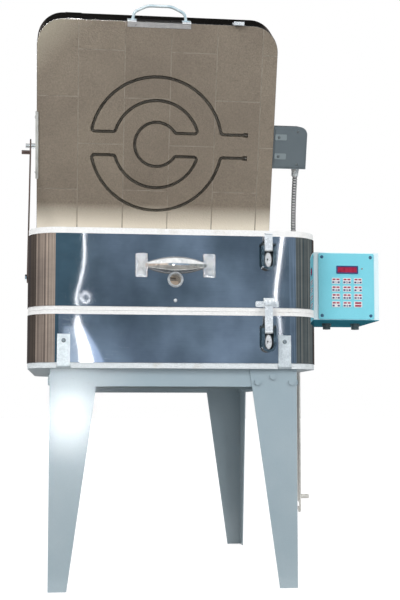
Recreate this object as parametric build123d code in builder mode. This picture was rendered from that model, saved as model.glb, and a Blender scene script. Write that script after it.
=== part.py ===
"""Clamshell glass kiln on a stand, modelled in millimetres with +Z up.

The lid is modelled open, as it stands in use for loading, and the ring is closed on the base.
The front faces -Y. While a piece is modelled, heights are counted from the ground. It is then
moved down, so that the origin is the middle of the chamber floor, where the ware stands.
Each piece is written to parts/NAME.step.
"""
import os
from math import acos, atan2, cos, degrees, pi, radians, sin, sqrt, tan

from build123d import *

# Body, lid and chamber
BODY_WIDTH = 597.0
BODY_DEPTH = 593.0
CORNER_RADIUS = 64.0
SHEET = 1.0
WALL = 63.5
SLAB_THICKNESS = 63.5
FLOOR_SEAT = 3.0
FLOOR_GAP = 0.5
PARTING_GAP = 0.4
SEAM_X = 60.0
SEAM_LAP = 36.0
SEAM_SCREW_INSET = 22.0
SMALL_SCREW_HEAD = 3.6
SMALL_SCREW_RISE = 2.2

# Heights of the stacked sections
STAND_HEIGHT = 442.4
BASE_HEIGHT = 115.6
RING_HEIGHT = 167.8
JACKET_SET_BACK_BASE_LOW = 11.0
JACKET_SET_BACK_BASE_HIGH = 7.6
JACKET_SET_BACK_RING_LOW = 8.3
JACKET_SET_BACK_RING_HIGH = 12.3

# Stand
STAND_WIDTH = 502.0
STAND_FRONT_INSET = 11.7
STAND_REAR_REACH = 177.5
LEG_TOP = 97.6
LEG_BOTTOM = 36.7
PLATE = 2.5
APRON_HEIGHT = 36.2
APRON_FLANGE = 28.0
STAND_BOLT_RADIUS = 3.0
STAND_BOLT_HEAD = 6.5
STAND_BOLT_RISE = 3.6
STAND_NUT = 5.6
STAND_NUT_HEIGHT = 4.5
BOLT_CLEARANCE = 0.3
CROSS_RAIL_WIDTH = 50.0
CROSS_RAIL_SET_BACK = 14.0
STAND_BOLTS = ((11.0, 27.0), (50.0, 16.0), (82.0, 27.0))

# Clips that hold the base to the stand
CLIP_WIDTH = 26.0
CLIP_HEIGHT = 68.0
CLIP_GAUGE = 1.6
CLIP_FOOT = 36.0
CLIP_INSET = 74.5
CLIP_SCREW_DROP = 13.0
SCREW_SHANK = 1.8

# Hinges at the back
HINGE_OFFSET = 16.5
HINGE_INSET = 128.5
KNUCKLE_RADIUS = 8.5
KNUCKLE_LENGTH = 24.0
HINGE_PIN_RADIUS = 4.0
RUNNING_CLEARANCE = 0.05
SIDE_CLEARANCE = 0.4
LEAF_GAUGE = 3.0
LEAF_LENGTH = 46.0

# Lid
LID_OPEN_ANGLE = 72.8
LID_THICKNESS = 63.5
LID_FLARE = 18.0
LID_JACKET_SET_BACK = 3.0
BRICK_LENGTH = 228.6
BRICK_BREADTH = 114.3
JOINT_WIDTH = 1.4
JOINT_DEPTH = 1.0
JOINT_X = 31.5
JOINT_S = 196.75

# Heating element in the lid face
GROOVE_WIDTH = 8.0
GROOVE_DEPTH = 9.0
OUTER_RING = 166.0
MIDDLE_RING = 108.5
INNER_RING = 55.0
LINK_HALF = 29.0
LINK_CORNER = 7.0
ELEMENT_RADIUS = 3.0
ELEMENT_END_INSET = 72.5
TERMINAL_HOLE = 12.0
TAIL_DROP = 16.0

# Heating elements in the ring wall
SIDE_GROOVE_SPACING = 88.0
TAIL_SPACING = 12.0
TAIL_SET_BACK = 99.5
THERMOCOUPLE_STEP = 50.0
TAIL_RADIUS = 3.0
TAIL_HOLE = 4.0

# Peephole in the ring front
PEEPHOLE_RADIUS = 12.0
PEEPHOLE_TUBE = 1.2
PEEPHOLE_RIM = 16.0
PEEPHOLE_RISE = 64.1
PEEPHOLE_LIP = 4.5
PEEPHOLE_SCREW_DROP = 42.5

# Front handle on the ring
HANDLE_PLATE_WIDTH = 25.0
HANDLE_PLATE_HEIGHT = 48.5
HANDLE_PLATE_GAUGE = 2.4
HANDLE_HALF_SPAN = 68.7
HANDLE_RISE = 92.6
HANDLE_STAND_OFF = 27.0
GRIP_HEIGHT = 29.0
GRIP_END_HEIGHT = 9.0
GRIP_THICKNESS = 6.5
GRIP_STATIONS = 8
HANDLE_CROSS_WIDTH = 2.6
HANDLE_CROSS_RISE = 0.9
HANDLE_CROSS_MARGIN = 10.0

# Latches on the front
LATCH_INSET = 109.0
LATCH_GAUGE = 1.6
LATCH_LEVER_WIDTH = 29.5
LATCH_LEVER_LENGTH = 51.0
LATCH_STRAP_WIDTH = 16.4
LATCH_AXIS_OUT = 9.0
LATCH_LINK = 10.0
LATCH_PIN = 2.0
LATCH_PIN_SMALL = 1.8
LATCH_WALL_DEPTH = 11.0
LATCH_WINDOW_DROP = 37.0
LATCH_BOSS_DROP = 30.0
LATCH_BOSS_HALF_WIDTH = 8.2
LATCH_BOSS_HALF_HEIGHT = 16.0
LATCH_BOSS_RISE = 6.0
LATCH_EAR = 2.0
LATCH_EAR_RADIUS = 4.0
LATCH_EAR_GAP = 0.3
LATCH_PLATE_NARROWING = 7.0
LATCH_PLATE_OVER = 6.0
LATCH_PLATE_CORNER = 3.0
LATCH_BOSS_DRAFT = 0.27
LATCH_KEYHOLE_RADIUS = 1.7
LATCH_KEYHOLE_SLOT = (1.6, 3.4)
LATCH_KEYHOLE_SHIFT = (1.5, 1.0)
LATCH_PIN_OVER = 0.8
LATCH_FACE_OUT = 5.0
LATCH_LEVER_TOP = 5.0
LATCH_WINDOW_GAP = 0.8
LATCH_EAR_SLOT = 3.5
LATCH_EAR_SLOT_GAP = 0.5
LATCH_TOP_CUT = (8.0, 6.0, 4.0)
LATCH_HEEL_CUT = (7.0, 6.0, 3.0)
LATCH_LINK_OUT = 1.0
LATCH_PIN_INSET = 0.5
STRAP_EYE_RADIUS = 3.4
STRAP_BACK_OUT = 2.2
STRAP_FACE_OUT = 3.8
STRAP_LIP_OUT = 6.0
STRAP_LIP = (2.0, 2.6)
STRAP_EYE_LAP = 1.6
CATCH_SHIFT = 1.5
CATCH_PLATE = (48.0, 12.0, 2.0)
CATCH_PLATE_RISE = 7.5
CATCH_BLOCK_WIDTH = 21.0
CATCH_BLOCK = ((0.0, 1.5), (3.0, 1.5), (3.0, 7.5), (9.0, 7.5), (9.0, 12.0), (3.0, 20.0), (0.0, 20.0))
CATCH_SCREW_SPAN = 18.5
UPPER_LATCH_DROP = 31.2
UPPER_STRAP_REACH = 23.5
LOWER_LATCH_DROP = 31.5
LOWER_STRAP_REACH = 46.3

# Prop bars
PROP_WIDTH = 25.0
PROP_GAUGE = 3.0
PROP_LENGTH = 374.0
PROP_NOTCH = 356.0
PROP_PEG = 338.0
PROP_PEG_RADIUS = 5.0
PROP_PEG_LENGTH = 20.0
PROP_STAND_OFF = 14.0
PROP_PIN_RADIUS = 4.0
NOTCH_CLEARANCE = 0.4
LID_STUD_S = 299.6
LID_STUD_DEPTH = 16.3
LID_PROP_Y = 145.0
RING_PROP_Y = 0.0
RING_PROP_DROP = 58.0
RING_STUD_Y = 205.0
RING_STUD_RISE = 81.6

# Bracket on the lid's left edge
BRACKET_LOW = 220.0
BRACKET_HIGH = 385.0
BRACKET_DEPTH = 38.0
BRACKET_GAUGE = 3.0
BRACKET_LEG = 7.0

# Lid handle and catch
LID_HANDLE_HALF_SPAN = 66.0
LID_HANDLE_ROD = 3.6
LID_HANDLE_REACH = 34.0
LID_STRIP_WIDTH = 157.0
LID_STRIP_DEPTH = 13.0
LID_STRIP_GAUGE = 2.0
CATCH_WIDTH = 25.7
CATCH_INSET = 102.5
CATCH_DROP = 12.0

# Terminal box on the lid's right side
TERMINAL_BOX_WIDTH = 87.0
TERMINAL_BOX_LOW = 260.5
TERMINAL_BOX_HIGH = 367.0
TERMINAL_BOX_NEAR = 6.0
TERMINAL_BOX_FAR = 56.0
BOX_SHEET = 1.5
TERMINAL_CORNER = 20.0
TAIL_BORE = 7.0
COVER_GAUGE = 2.0
COVER_RIM = 5.0
COVER_RAISE = 1.2
COVER_TAB = (30.0, 15.0, 2.4)
COVER_TAB_X = 19.0
COVER_TAB_S = (26.0, -22.0)
TAB_SCREW_X = 14.0
COVER_SCREW_IN = 24.0
COVER_SCREW_END = 12.0
BUSHING_RADIUS = 6.6
BUSHING_LENGTH = 12.0
ELEMENT_SQUEEZE = 0.3
CLAMP_RADIUS = 5.0
CLAMP_LENGTH = 16.0
CLAMP_LAP = 4.0
TERMINAL_GLAND_OUT = 65.5
TERMINAL_GLAND_DEPTH = 31.0

# Control box on the ring's right side
CONTROL_WIDTH = 143.5
CONTROL_DEPTH = 192.0
CONTROL_HEIGHT = 146.0
CONTROL_FRONT_SET_BACK = 87.0
CONTROL_STAND_OFF = 5.5
CONTROL_DROP = 8.4
PANEL_WIDTH = 121.5
PANEL_HEIGHT = 142.0
PANEL_GAUGE = 2.0
PANEL_LAP = 13.0
DISPLAY_WIDTH = 47.5
DISPLAY_HEIGHT = 17.0
DISPLAY_FRAME = 2.6
DISPLAY_RISE = 35.8
KEY_WIDTH = 18.0
KEY_HEIGHT = 12.6
KEY_PITCH_X = 24.1
KEY_PITCH_Z = 16.8
KEY_RISE = 0.8
KEYPAD_DROP = 13.5
BOX_POST_INSET_Y = 24.0
BOX_POST_LOW = 26.0
BOX_POST_HIGH = 20.0
BOX_POST_RADIUS = 7.0
VENT_SLOT = (46.0, 4.0)
VENT_PITCH = (60.0, 12.0)
VENT_ROWS = 5
VENT_RISE = 10.0
PANEL_CORNER = 3.0
PANEL_SCREW_INSET = (7.5, 8.0)
DISPLAY_SHIFT = 2.0
DISPLAY_CORNER = 1.5
BEZEL_RISE = 1.4
WINDOW_RISE = 0.7
KEYPAD_SHIFT = 1.2
KEY_CORNER = 2.0
LAMP_PLACE = (34.5, 2.5)
LAMP_RADIUS = 1.6
LAMP_RISE = 1.2
UNDER_GLAND_X = (-22.5, 42.0)
UNDER_GLAND_Y = 90.0
BOARD_SET_BACK = 16.0
BOARD_SIZE = (100.0, 116.0, 1.6)
BOARD_POST = (42.0, 50.0)
BOARD_POST_RADIUS = 3.0
BOARD_PARTS = ((-20.0, 20.0, 26.0, 26.0), (18.0, -22.0, 26.0, 26.0), (26.0, 34.0, 18.0, 30.0))
BOARD_PART_RISE = 9.0
TRANSFORMER_PLACE = (30.0, 42.0)
TRANSFORMER_CORE = (52.0, 44.0, 42.0)
TRANSFORMER_COIL = (34.0, 62.0, 34.0)
RELAY_X = 38.0
RELAY_BACKS = (62.0, 26.0)
RELAY_BASE = (32.0, 30.0, 5.0)
RELAY_CASE = (27.0, 25.0, 28.0)
CONTROL_GLAND_IN = 58.0
CONTROL_GLAND_RISE = 114.0

# Flexible conduit between the two boxes
CONDUIT_RADIUS = 6.4
CONDUIT_RIB = 1.0
CONDUIT_BORE = 4.2
CONDUIT_PITCH = 8.2
GLAND_RADIUS = 10.5
GLAND_LENGTH = 20.0
GLAND_HOLE = 7.5
GLAND_HEX = 7.0
GLAND_SLEEVE_STEP = 1.6
GLAND_NUT = 3.5
UNDER_BORE = 4.5
UNDER_HEX = 5.0
UNDER_NOSE = 8.0
UNDER_NUT = 4.0

# Values that follow from the sizes above
BRICK_WIDTH = BODY_WIDTH - 2 * SHEET
BRICK_DEPTH = BODY_DEPTH - 2 * SHEET
CHAMBER_WIDTH = BRICK_WIDTH - 2 * WALL
CHAMBER_DEPTH = BRICK_DEPTH - 2 * WALL
FRONT_Y = -BODY_DEPTH / 2
BACK_Y = BODY_DEPTH / 2
SIDE_X = BODY_WIDTH / 2
PARTING_Z = STAND_HEIGHT + BASE_HEIGHT
CHAMBER_FLOOR_Z = STAND_HEIGHT + SLAB_THICKNESS
WALL_SEAT_Z = CHAMBER_FLOOR_Z - FLOOR_SEAT
RING_LOW_Z = PARTING_Z + PARTING_GAP
RING_TOP_Z = RING_LOW_Z + RING_HEIGHT
RING_MID_Z = (RING_LOW_Z + RING_TOP_Z) / 2
LID_CLOSED_Z = RING_TOP_Z + PARTING_GAP
BASE_JACKET = (STAND_HEIGHT + JACKET_SET_BACK_BASE_LOW, PARTING_Z - JACKET_SET_BACK_BASE_HIGH)
RING_JACKET = (RING_LOW_Z + JACKET_SET_BACK_RING_LOW, RING_TOP_Z - JACKET_SET_BACK_RING_HIGH)
STAND_FRONT_Y = FRONT_Y + STAND_FRONT_INSET
STAND_BACK_Y = BACK_Y + STAND_REAR_REACH
HINGE_Y = BACK_Y + HINGE_OFFSET
PEEPHOLE_Z = RING_LOW_Z + PEEPHOLE_RISE
HANDLE_Z = RING_LOW_Z + HANDLE_RISE
UPPER_LATCH_Z = RING_TOP_Z - UPPER_LATCH_DROP
LOWER_LATCH_Z = PARTING_Z - LOWER_LATCH_DROP
RING_PROP_Z = PARTING_Z - RING_PROP_DROP
RING_STUD_Z = RING_LOW_Z + RING_STUD_RISE
CLIP_X = SIDE_X - CLIP_INSET
HINGE_X = SIDE_X - HINGE_INSET
LATCH_X = SIDE_X - LATCH_INSET
CATCH_X = SIDE_X - CATCH_INSET
ELEMENT_END_X = SIDE_X - ELEMENT_END_INSET
TERMINAL_GLAND_X = SIDE_X + TERMINAL_GLAND_OUT
LID_HINGE = Vector(0, HINGE_Y, LID_CLOSED_Z)
RING_HINGE = Vector(0, HINGE_Y, RING_LOW_Z)
LID_BACK_S = HINGE_OFFSET
LID_FRONT_S = HINGE_OFFSET + BODY_DEPTH
LID_MIDDLE_S = (LID_BACK_S + LID_FRONT_S) / 2
ALONG = Vector(0, -cos(radians(LID_OPEN_ANGLE)), sin(radians(LID_OPEN_ANGLE)))
OUT_OF_FACE = Vector(0, -sin(radians(LID_OPEN_ANGLE)), -cos(radians(LID_OPEN_ANGLE)))
CONTROL_LEFT_X = SIDE_X + CONTROL_STAND_OFF
CONTROL_MID_X = CONTROL_LEFT_X + CONTROL_WIDTH / 2
CONTROL_FRONT_Y = FRONT_Y + CONTROL_FRONT_SET_BACK
CONTROL_BACK_Y = CONTROL_FRONT_Y + CONTROL_DEPTH
CONTROL_Z = RING_LOW_Z - CONTROL_DROP
CONTROL_GLAND_X = CONTROL_LEFT_X + CONTROL_GLAND_IN
CONTROL_GLAND_Z = CONTROL_Z + CONTROL_GLAND_RISE
TAIL_Y = CONTROL_FRONT_Y + TAIL_SET_BACK
THERMOCOUPLE_Y = TAIL_Y + THERMOCOUPLE_STEP
CONTROL_MID_Z = CONTROL_Z + CONTROL_HEIGHT / 2
PANEL_FACE_Y = CONTROL_FRONT_Y - PANEL_GAUGE
PROP_X = SIDE_X + PROP_STAND_OFF

PARTS = {}


def keep(name, builder):
    """Move a finished sub-part to the origin in the chamber and store it under its node name."""
    PARTS[name] = builder.part.moved(Location((0, 0, -CHAMBER_FLOOR_Z)))


def front_plane(y=FRONT_Y):
    """Plane facing the viewer, with local x = X and local y = Z."""
    return Plane(origin=(0, y, 0), x_dir=(1, 0, 0), z_dir=(0, -1, 0))


def rear_plane(y=BACK_Y):
    """Plane facing the rear, with local x = -X and local y = Z."""
    return Plane(origin=(0, y, 0), x_dir=(-1, 0, 0), z_dir=(0, 1, 0))


def side_plane(x):
    """Plane across X, with local x = Y and local y = Z."""
    return Plane(origin=(x, 0, 0), x_dir=(0, 1, 0), z_dir=(1, 0, 0))


def lid_plane(depth=0.0, s=0.0):
    """Plane along the lid face at a depth into the brick, with local x = X and y = s."""
    return Plane(origin=lid_point(0, s, depth), x_dir=(1, 0, 0), z_dir=OUT_OF_FACE)


def lid_side_plane(x):
    """Plane across X on the lid, with local x = s and local y = height over the face."""
    return Plane(origin=LID_HINGE + Vector(x, 0, 0), x_dir=ALONG, z_dir=(1, 0, 0))


def lid_end_plane(s):
    """Plane across the lid at distance s from its hinge, with local x = X and y = depth."""
    return Plane(origin=LID_HINGE + ALONG * s, x_dir=(1, 0, 0), z_dir=ALONG)


def lid_point(x, s, depth):
    """Point on the open lid from its own coordinates."""
    return LID_HINGE + Vector(x, 0, 0) + ALONG * s - OUT_OF_FACE * depth


def rod(start, direction, radius, length, mode=Mode.ADD):
    """Round bar, or a drilled hole with mode SUBTRACT, inside the part being built."""
    with BuildSketch(Plane(origin=start, z_dir=direction)) as disc:
        Circle(radius)
    extrude(disc.sketch, amount=length, mode=mode)


def collar(plane, radius, bore, length, sides=0):
    """Round or many-sided collar with a bore, inside the part being built."""
    with BuildSketch(plane) as section:
        if sides:
            RegularPolygon(radius, sides)
        else:
            Circle(radius)
        Circle(bore, mode=Mode.SUBTRACT)
    extrude(section.sketch, amount=length)


def dome_head(start, direction, radius, height, shank_radius, shank_length):
    """Domed screw head with its shank behind the seat, inside the part being built."""
    head = Plane(origin=start, z_dir=direction)
    with BuildSketch(head) as seat:
        Circle(radius)
    with BuildSketch(head.offset(height)) as crown:
        Circle(radius * 0.55)
    loft([seat.sketch, crown.sketch], ruled=True)
    rod(start, -Vector(direction), shank_radius, shank_length)


def screw_hole(start, direction, radius, length):
    """Clearance hole for a screw, with its mouth at start, in the part being built."""
    unit = Vector(direction).normalized()
    rod(Vector(start) - unit, unit, radius + 0.15, length + 1, Mode.SUBTRACT)


def leg_faces():
    """Each flange of each leg: outer corner, inward direction and outward normal."""
    for side in (-1, 1):
        for y, inward in ((STAND_FRONT_Y, 1), (STAND_BACK_Y, -1)):
            corner = Vector(side * STAND_WIDTH / 2, y, 0)
            yield corner, Vector(-side, 0, 0), Vector(0, -inward, 0)
            yield corner, Vector(0, inward, 0), Vector(side, 0, 0)


def flange_plane(corner, inward, outward):
    """Plane on a leg flange, and the sign that makes an extrusion go into the sheet."""
    plane = Plane(origin=corner, x_dir=inward, z_dir=inward.cross(Vector(0, 0, 1)))
    return plane, -1 if plane.z_dir.dot(outward) > 0 else 1


def make_stand():
    """Four tapered angle legs, the apron frame with its rails, and the bolts."""
    with BuildPart() as stand_legs:
        for corner, inward, outward in leg_faces():
            plane, into = flange_plane(corner, inward, outward)
            with BuildSketch(plane):
                with BuildLine():
                    Polyline(
                        (0, 0),
                        (LEG_BOTTOM, 0),
                        (LEG_TOP, STAND_HEIGHT),
                        (0, STAND_HEIGHT),
                        close=True,
                    )
                make_face()
            extrude(amount=into * PLATE)
        for corner, inward, outward in leg_faces():
            for along, drop in STAND_BOLTS:
                start = corner + inward * along + Vector(0, 0, STAND_HEIGHT - drop)
                rod(start + outward, -outward, STAND_BOLT_RADIUS + BOLT_CLEARANCE, PLATE + 2, Mode.SUBTRACT)
    keep("stand_legs", stand_legs)

    frame_width = STAND_WIDTH - 2 * PLATE
    frame_depth = STAND_BACK_Y - STAND_FRONT_Y - 2 * PLATE
    middle_y = (STAND_FRONT_Y + STAND_BACK_Y) / 2
    cross_rail_y = BACK_Y - CLIP_FOOT - CROSS_RAIL_SET_BACK
    cross_rail_end = cross_rail_y + CROSS_RAIL_WIDTH
    cross_rail_low = STAND_HEIGHT - APRON_HEIGHT + 6
    with BuildPart() as stand_rails:
        with BuildSketch(Plane.XY.offset(STAND_HEIGHT - APRON_HEIGHT)):
            with Locations((0, middle_y)):
                Rectangle(frame_width, frame_depth)
                Rectangle(frame_width - 2 * PLATE, frame_depth - 2 * PLATE, mode=Mode.SUBTRACT)
        extrude(amount=APRON_HEIGHT)
        with BuildSketch(Plane.XY.offset(STAND_HEIGHT - PLATE)):
            with Locations((0, middle_y)):
                Rectangle(frame_width, frame_depth)
                Rectangle(
                    frame_width - 2 * APRON_FLANGE,
                    frame_depth - 2 * APRON_FLANGE,
                    mode=Mode.SUBTRACT,
                )
        extrude(amount=PLATE)
        with BuildSketch(side_plane(-frame_width / 2 + PLATE)):
            with BuildLine():
                Polyline(
                    (cross_rail_y, STAND_HEIGHT),
                    (cross_rail_end, STAND_HEIGHT),
                    (cross_rail_end, STAND_HEIGHT - PLATE),
                    (cross_rail_y + PLATE, STAND_HEIGHT - PLATE),
                    (cross_rail_y + PLATE, cross_rail_low),
                    (cross_rail_y, cross_rail_low),
                    close=True,
                )
            make_face()
        extrude(amount=frame_width - 2 * PLATE)
        for corner, inward, outward in leg_faces():
            for along, drop in STAND_BOLTS:
                start = corner + inward * along + Vector(0, 0, STAND_HEIGHT - drop)
                rod(start, -outward, STAND_BOLT_RADIUS + BOLT_CLEARANCE, 2 * PLATE + 1, Mode.SUBTRACT)
    keep("stand_rails", stand_rails)

    with BuildPart() as stand_bolts:
        for corner, inward, outward in leg_faces():
            for along, drop in STAND_BOLTS:
                seat = corner + inward * along + Vector(0, 0, STAND_HEIGHT - drop)
                rod(seat, -outward, STAND_BOLT_RADIUS, 2 * PLATE + STAND_NUT_HEIGHT + 1.5)
                with BuildSketch(Plane(origin=seat, z_dir=outward)):
                    RegularPolygon(STAND_BOLT_HEAD, 6)
                extrude(amount=STAND_BOLT_RISE)
                with BuildSketch(Plane(origin=seat - outward * 2 * PLATE, z_dir=-outward)):
                    RegularPolygon(STAND_NUT, 6)
                extrude(amount=STAND_NUT_HEIGHT)
    keep("stand_bolts", stand_bolts)


def clip_places():
    """Centre x, wall face y and inward sign of each clip."""
    for x in (-CLIP_X, CLIP_X):
        yield x, FRONT_Y, 1
        yield x, BACK_Y, -1


def clip_outline(y, inward):
    """Side profile of a clip: a plate up the jacket and a foot under the slab."""
    low = STAND_HEIGHT
    with BuildLine() as outline:
        Polyline(
            (y, low + JACKET_SET_BACK_BASE_LOW - 4),
            (y, low + CLIP_HEIGHT),
            (y - inward * CLIP_GAUGE, low + CLIP_HEIGHT),
            (y - inward * CLIP_GAUGE, low + 4),
            (y + inward * 4, low),
            (y + inward * CLIP_FOOT, low),
            (y + inward * CLIP_FOOT, low + CLIP_GAUGE),
            (y + inward * 5, low + CLIP_GAUGE),
            (y + inward * SHEET, low + 5),
            close=True,
        )
    make_face(outline.edges())


def make_base():
    """Brick floor and low wall, their jacket, and the clips to the stand."""
    with BuildPart() as floor_slab:
        with BuildSketch(Plane.XY.offset(STAND_HEIGHT)):
            RectangleRounded(BRICK_WIDTH, BRICK_DEPTH, CORNER_RADIUS - SHEET)
        extrude(amount=SLAB_THICKNESS - FLOOR_SEAT)
        with BuildSketch(Plane.XY.offset(WALL_SEAT_Z)):
            Rectangle(CHAMBER_WIDTH - 2 * FLOOR_GAP, CHAMBER_DEPTH - 2 * FLOOR_GAP)
        extrude(amount=FLOOR_SEAT)
        for x, y, inward in clip_places():
            with BuildSketch(side_plane(x - CLIP_WIDTH / 2 - 1)):
                with BuildLine():
                    Polyline(
                        (y, STAND_HEIGHT),
                        (y + inward * (CLIP_FOOT + 1), STAND_HEIGHT),
                        (y + inward * (CLIP_FOOT + 1), STAND_HEIGHT + CLIP_GAUGE),
                        (y + inward * 6, STAND_HEIGHT + CLIP_GAUGE),
                        (y, STAND_HEIGHT + 9),
                        close=True,
                    )
                make_face()
            extrude(amount=CLIP_WIDTH + 2, mode=Mode.SUBTRACT)
    keep("floor_slab", floor_slab)

    with BuildPart() as base_wall:
        with BuildSketch(Plane.XY.offset(WALL_SEAT_Z)):
            RectangleRounded(BRICK_WIDTH, BRICK_DEPTH, CORNER_RADIUS - SHEET)
            Rectangle(CHAMBER_WIDTH, CHAMBER_DEPTH, mode=Mode.SUBTRACT)
        extrude(amount=PARTING_Z - WALL_SEAT_Z)
        cut_rim_joints(PARTING_Z)
    keep("base_wall", base_wall)

    with BuildPart() as base_jacket:
        make_jacket(*BASE_JACKET)
        for seat, inward in clip_screw_seats():
            screw_hole(seat, (0, inward, 0), SCREW_SHANK, CLIP_GAUGE + SHEET)
        for seat in seam_screw_seats(*BASE_JACKET):
            screw_hole(seat, (0, -1, 0), SCREW_SHANK, 2 * SHEET)
    keep("base_jacket", base_jacket)

    with BuildPart() as base_clips:
        for x, y, inward in clip_places():
            with BuildSketch(side_plane(x - CLIP_WIDTH / 2)):
                clip_outline(y, inward)
            extrude(amount=CLIP_WIDTH)
        for seat, inward in clip_screw_seats():
            screw_hole(seat, (0, inward, 0), SCREW_SHANK, CLIP_GAUGE)
    keep("base_clips", base_clips)


def clip_screw_seats():
    """Seat of each clip's screw and the sign of the way in."""
    for x, y, inward in clip_places():
        seat = (x, y - inward * CLIP_GAUGE, STAND_HEIGHT + CLIP_HEIGHT - CLIP_SCREW_DROP)
        yield seat, inward


def seam_screw_seats(low, high):
    """Seats of the screws that close a jacket's lapped seam."""
    for z in (low + SEAM_SCREW_INSET, high - SEAM_SCREW_INSET):
        yield (SEAM_X, BACK_Y + SHEET, z)


def cut_rim_joints(top):
    """Shallow cement lines where the wall bricks meet, on the rim being built."""
    with BuildSketch(Plane.XY.offset(top)) as lines:
        for side in (-1, 1):
            for x in (-BRICK_BREADTH, BRICK_BREADTH):
                with Locations((x + side * 9, side * (CHAMBER_DEPTH + WALL) / 2)):
                    Rectangle(JOINT_WIDTH, WALL + 8)
            for y in (-BRICK_BREADTH, BRICK_BREADTH):
                with Locations((side * (CHAMBER_WIDTH + WALL) / 2, y - side * 9)):
                    Rectangle(WALL + 8, JOINT_WIDTH)
            with Locations((side * CHAMBER_WIDTH / 2, -side * (CHAMBER_DEPTH + WALL) / 2)):
                Rectangle(JOINT_WIDTH, WALL + 8)
    extrude(lines.sketch, amount=-JOINT_DEPTH, mode=Mode.SUBTRACT)


def make_jacket(low, high):
    """Stainless band between two heights with its lapped seam at the back."""
    inner_radius = CORNER_RADIUS - SHEET
    with BuildSketch(Plane.XY.offset(low)) as band:
        RectangleRounded(BODY_WIDTH, BODY_DEPTH, CORNER_RADIUS)
        RectangleRounded(BRICK_WIDTH, BRICK_DEPTH, inner_radius, mode=Mode.SUBTRACT)
        with Locations((SEAM_X, BACK_Y + SHEET / 2)):
            Rectangle(SEAM_LAP, SHEET)
    extrude(band.sketch, amount=high - low)


def side_element_heights():
    """Heights of the two element grooves in the ring wall."""
    return RING_MID_Z - SIDE_GROOVE_SPACING / 2, RING_MID_Z + SIDE_GROOVE_SPACING / 2


def drill_tails(x, length):
    """Holes for the element tails through whatever is being built, along +X."""
    for z in side_element_heights():
        for y in (TAIL_Y - TAIL_SPACING, TAIL_Y + TAIL_SPACING):
            rod((x, y, z), (1, 0, 0), TAIL_HOLE, length, Mode.SUBTRACT)


def make_ring():
    """Brick ring, its jacket, and its wall elements."""
    with BuildPart() as ring_wall:
        with BuildSketch(Plane.XY.offset(RING_LOW_Z)):
            RectangleRounded(BRICK_WIDTH, BRICK_DEPTH, CORNER_RADIUS - SHEET)
            Rectangle(CHAMBER_WIDTH, CHAMBER_DEPTH, mode=Mode.SUBTRACT)
        extrude(amount=RING_HEIGHT)
        for z in side_element_heights():
            with BuildSketch(Plane.XY.offset(z - GROOVE_WIDTH / 2)):
                Rectangle(CHAMBER_WIDTH + 2 * GROOVE_DEPTH, CHAMBER_DEPTH + 2 * GROOVE_DEPTH)
            extrude(amount=GROOVE_WIDTH, mode=Mode.SUBTRACT)
        drill_tails(CHAMBER_WIDTH / 2, WALL + 5)
        rod((0, FRONT_Y, PEEPHOLE_Z), (0, 1, 0), PEEPHOLE_RADIUS + PEEPHOLE_TUBE, WALL + 5,
            Mode.SUBTRACT)
        rod((CHAMBER_WIDTH / 2 - 5, THERMOCOUPLE_Y, RING_MID_Z), (1, 0, 0), TAIL_HOLE, WALL + 10,
            Mode.SUBTRACT)
        cut_rim_joints(RING_TOP_Z)
    keep("ring_wall", ring_wall)

    with BuildPart() as ring_jacket:
        make_jacket(*RING_JACKET)
        drill_tails(SIDE_X - 5, 10)
        rod((0, FRONT_Y - 5, PEEPHOLE_Z), (0, 1, 0), PEEPHOLE_RADIUS + PEEPHOLE_TUBE, 10,
            Mode.SUBTRACT)
        rod((SIDE_X - 5, THERMOCOUPLE_Y, RING_MID_Z), (1, 0, 0), TAIL_HOLE, 10, Mode.SUBTRACT)
        for seat in seam_screw_seats(*RING_JACKET):
            screw_hole(seat, (0, -1, 0), SCREW_SHANK, 2 * SHEET)
        screw_hole(peephole_screw_seat(), (0, 1, 0), SCREW_SHANK, SHEET)
    keep("ring_jacket", ring_jacket)

    reach_x = CHAMBER_WIDTH / 2 + GROOVE_DEPTH - ELEMENT_RADIUS - 0.5
    reach_y = CHAMBER_DEPTH / 2 + GROOVE_DEPTH - ELEMENT_RADIUS - 0.5
    tail_x = CONTROL_LEFT_X + BOX_SHEET + 14
    with BuildPart() as ring_elements:
        for z in side_element_heights():
            with BuildLine(Plane.XY.offset(z)) as loop:
                FilletPolyline(
                    (tail_x, TAIL_Y + TAIL_SPACING),
                    (reach_x - 5, TAIL_Y + TAIL_SPACING),
                    (reach_x - 5, reach_y),
                    (-reach_x, reach_y),
                    (-reach_x, -reach_y),
                    (reach_x - 5, -reach_y),
                    (reach_x - 5, TAIL_Y - TAIL_SPACING),
                    (tail_x, TAIL_Y - TAIL_SPACING),
                    radius=TAIL_SPACING * 0.7,
                )
            with BuildSketch(Plane(origin=loop.wires()[0] @ 0, z_dir=loop.wires()[0] % 0)):
                RegularPolygon(TAIL_RADIUS, 8)
            sweep(path=loop.wires()[0])
    keep("ring_elements", ring_elements)

    with BuildPart() as thermocouple:
        start = (CHAMBER_WIDTH / 2 - 22, THERMOCOUPLE_Y, RING_MID_Z)
        rod(start, (1, 0, 0), TAIL_HOLE - 0.2, tail_x - CHAMBER_WIDTH / 2 + 22)
        with BuildSketch(side_plane(tail_x - 4)):
            with Locations((THERMOCOUPLE_Y, RING_MID_Z)):
                Rectangle(26, 16)
        extrude(amount=14)
    keep("thermocouple", thermocouple)


def peephole_screw_seat():
    """Seat of the screw under the peephole."""
    return (0, FRONT_Y, PEEPHOLE_Z - PEEPHOLE_SCREW_DROP)


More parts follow.
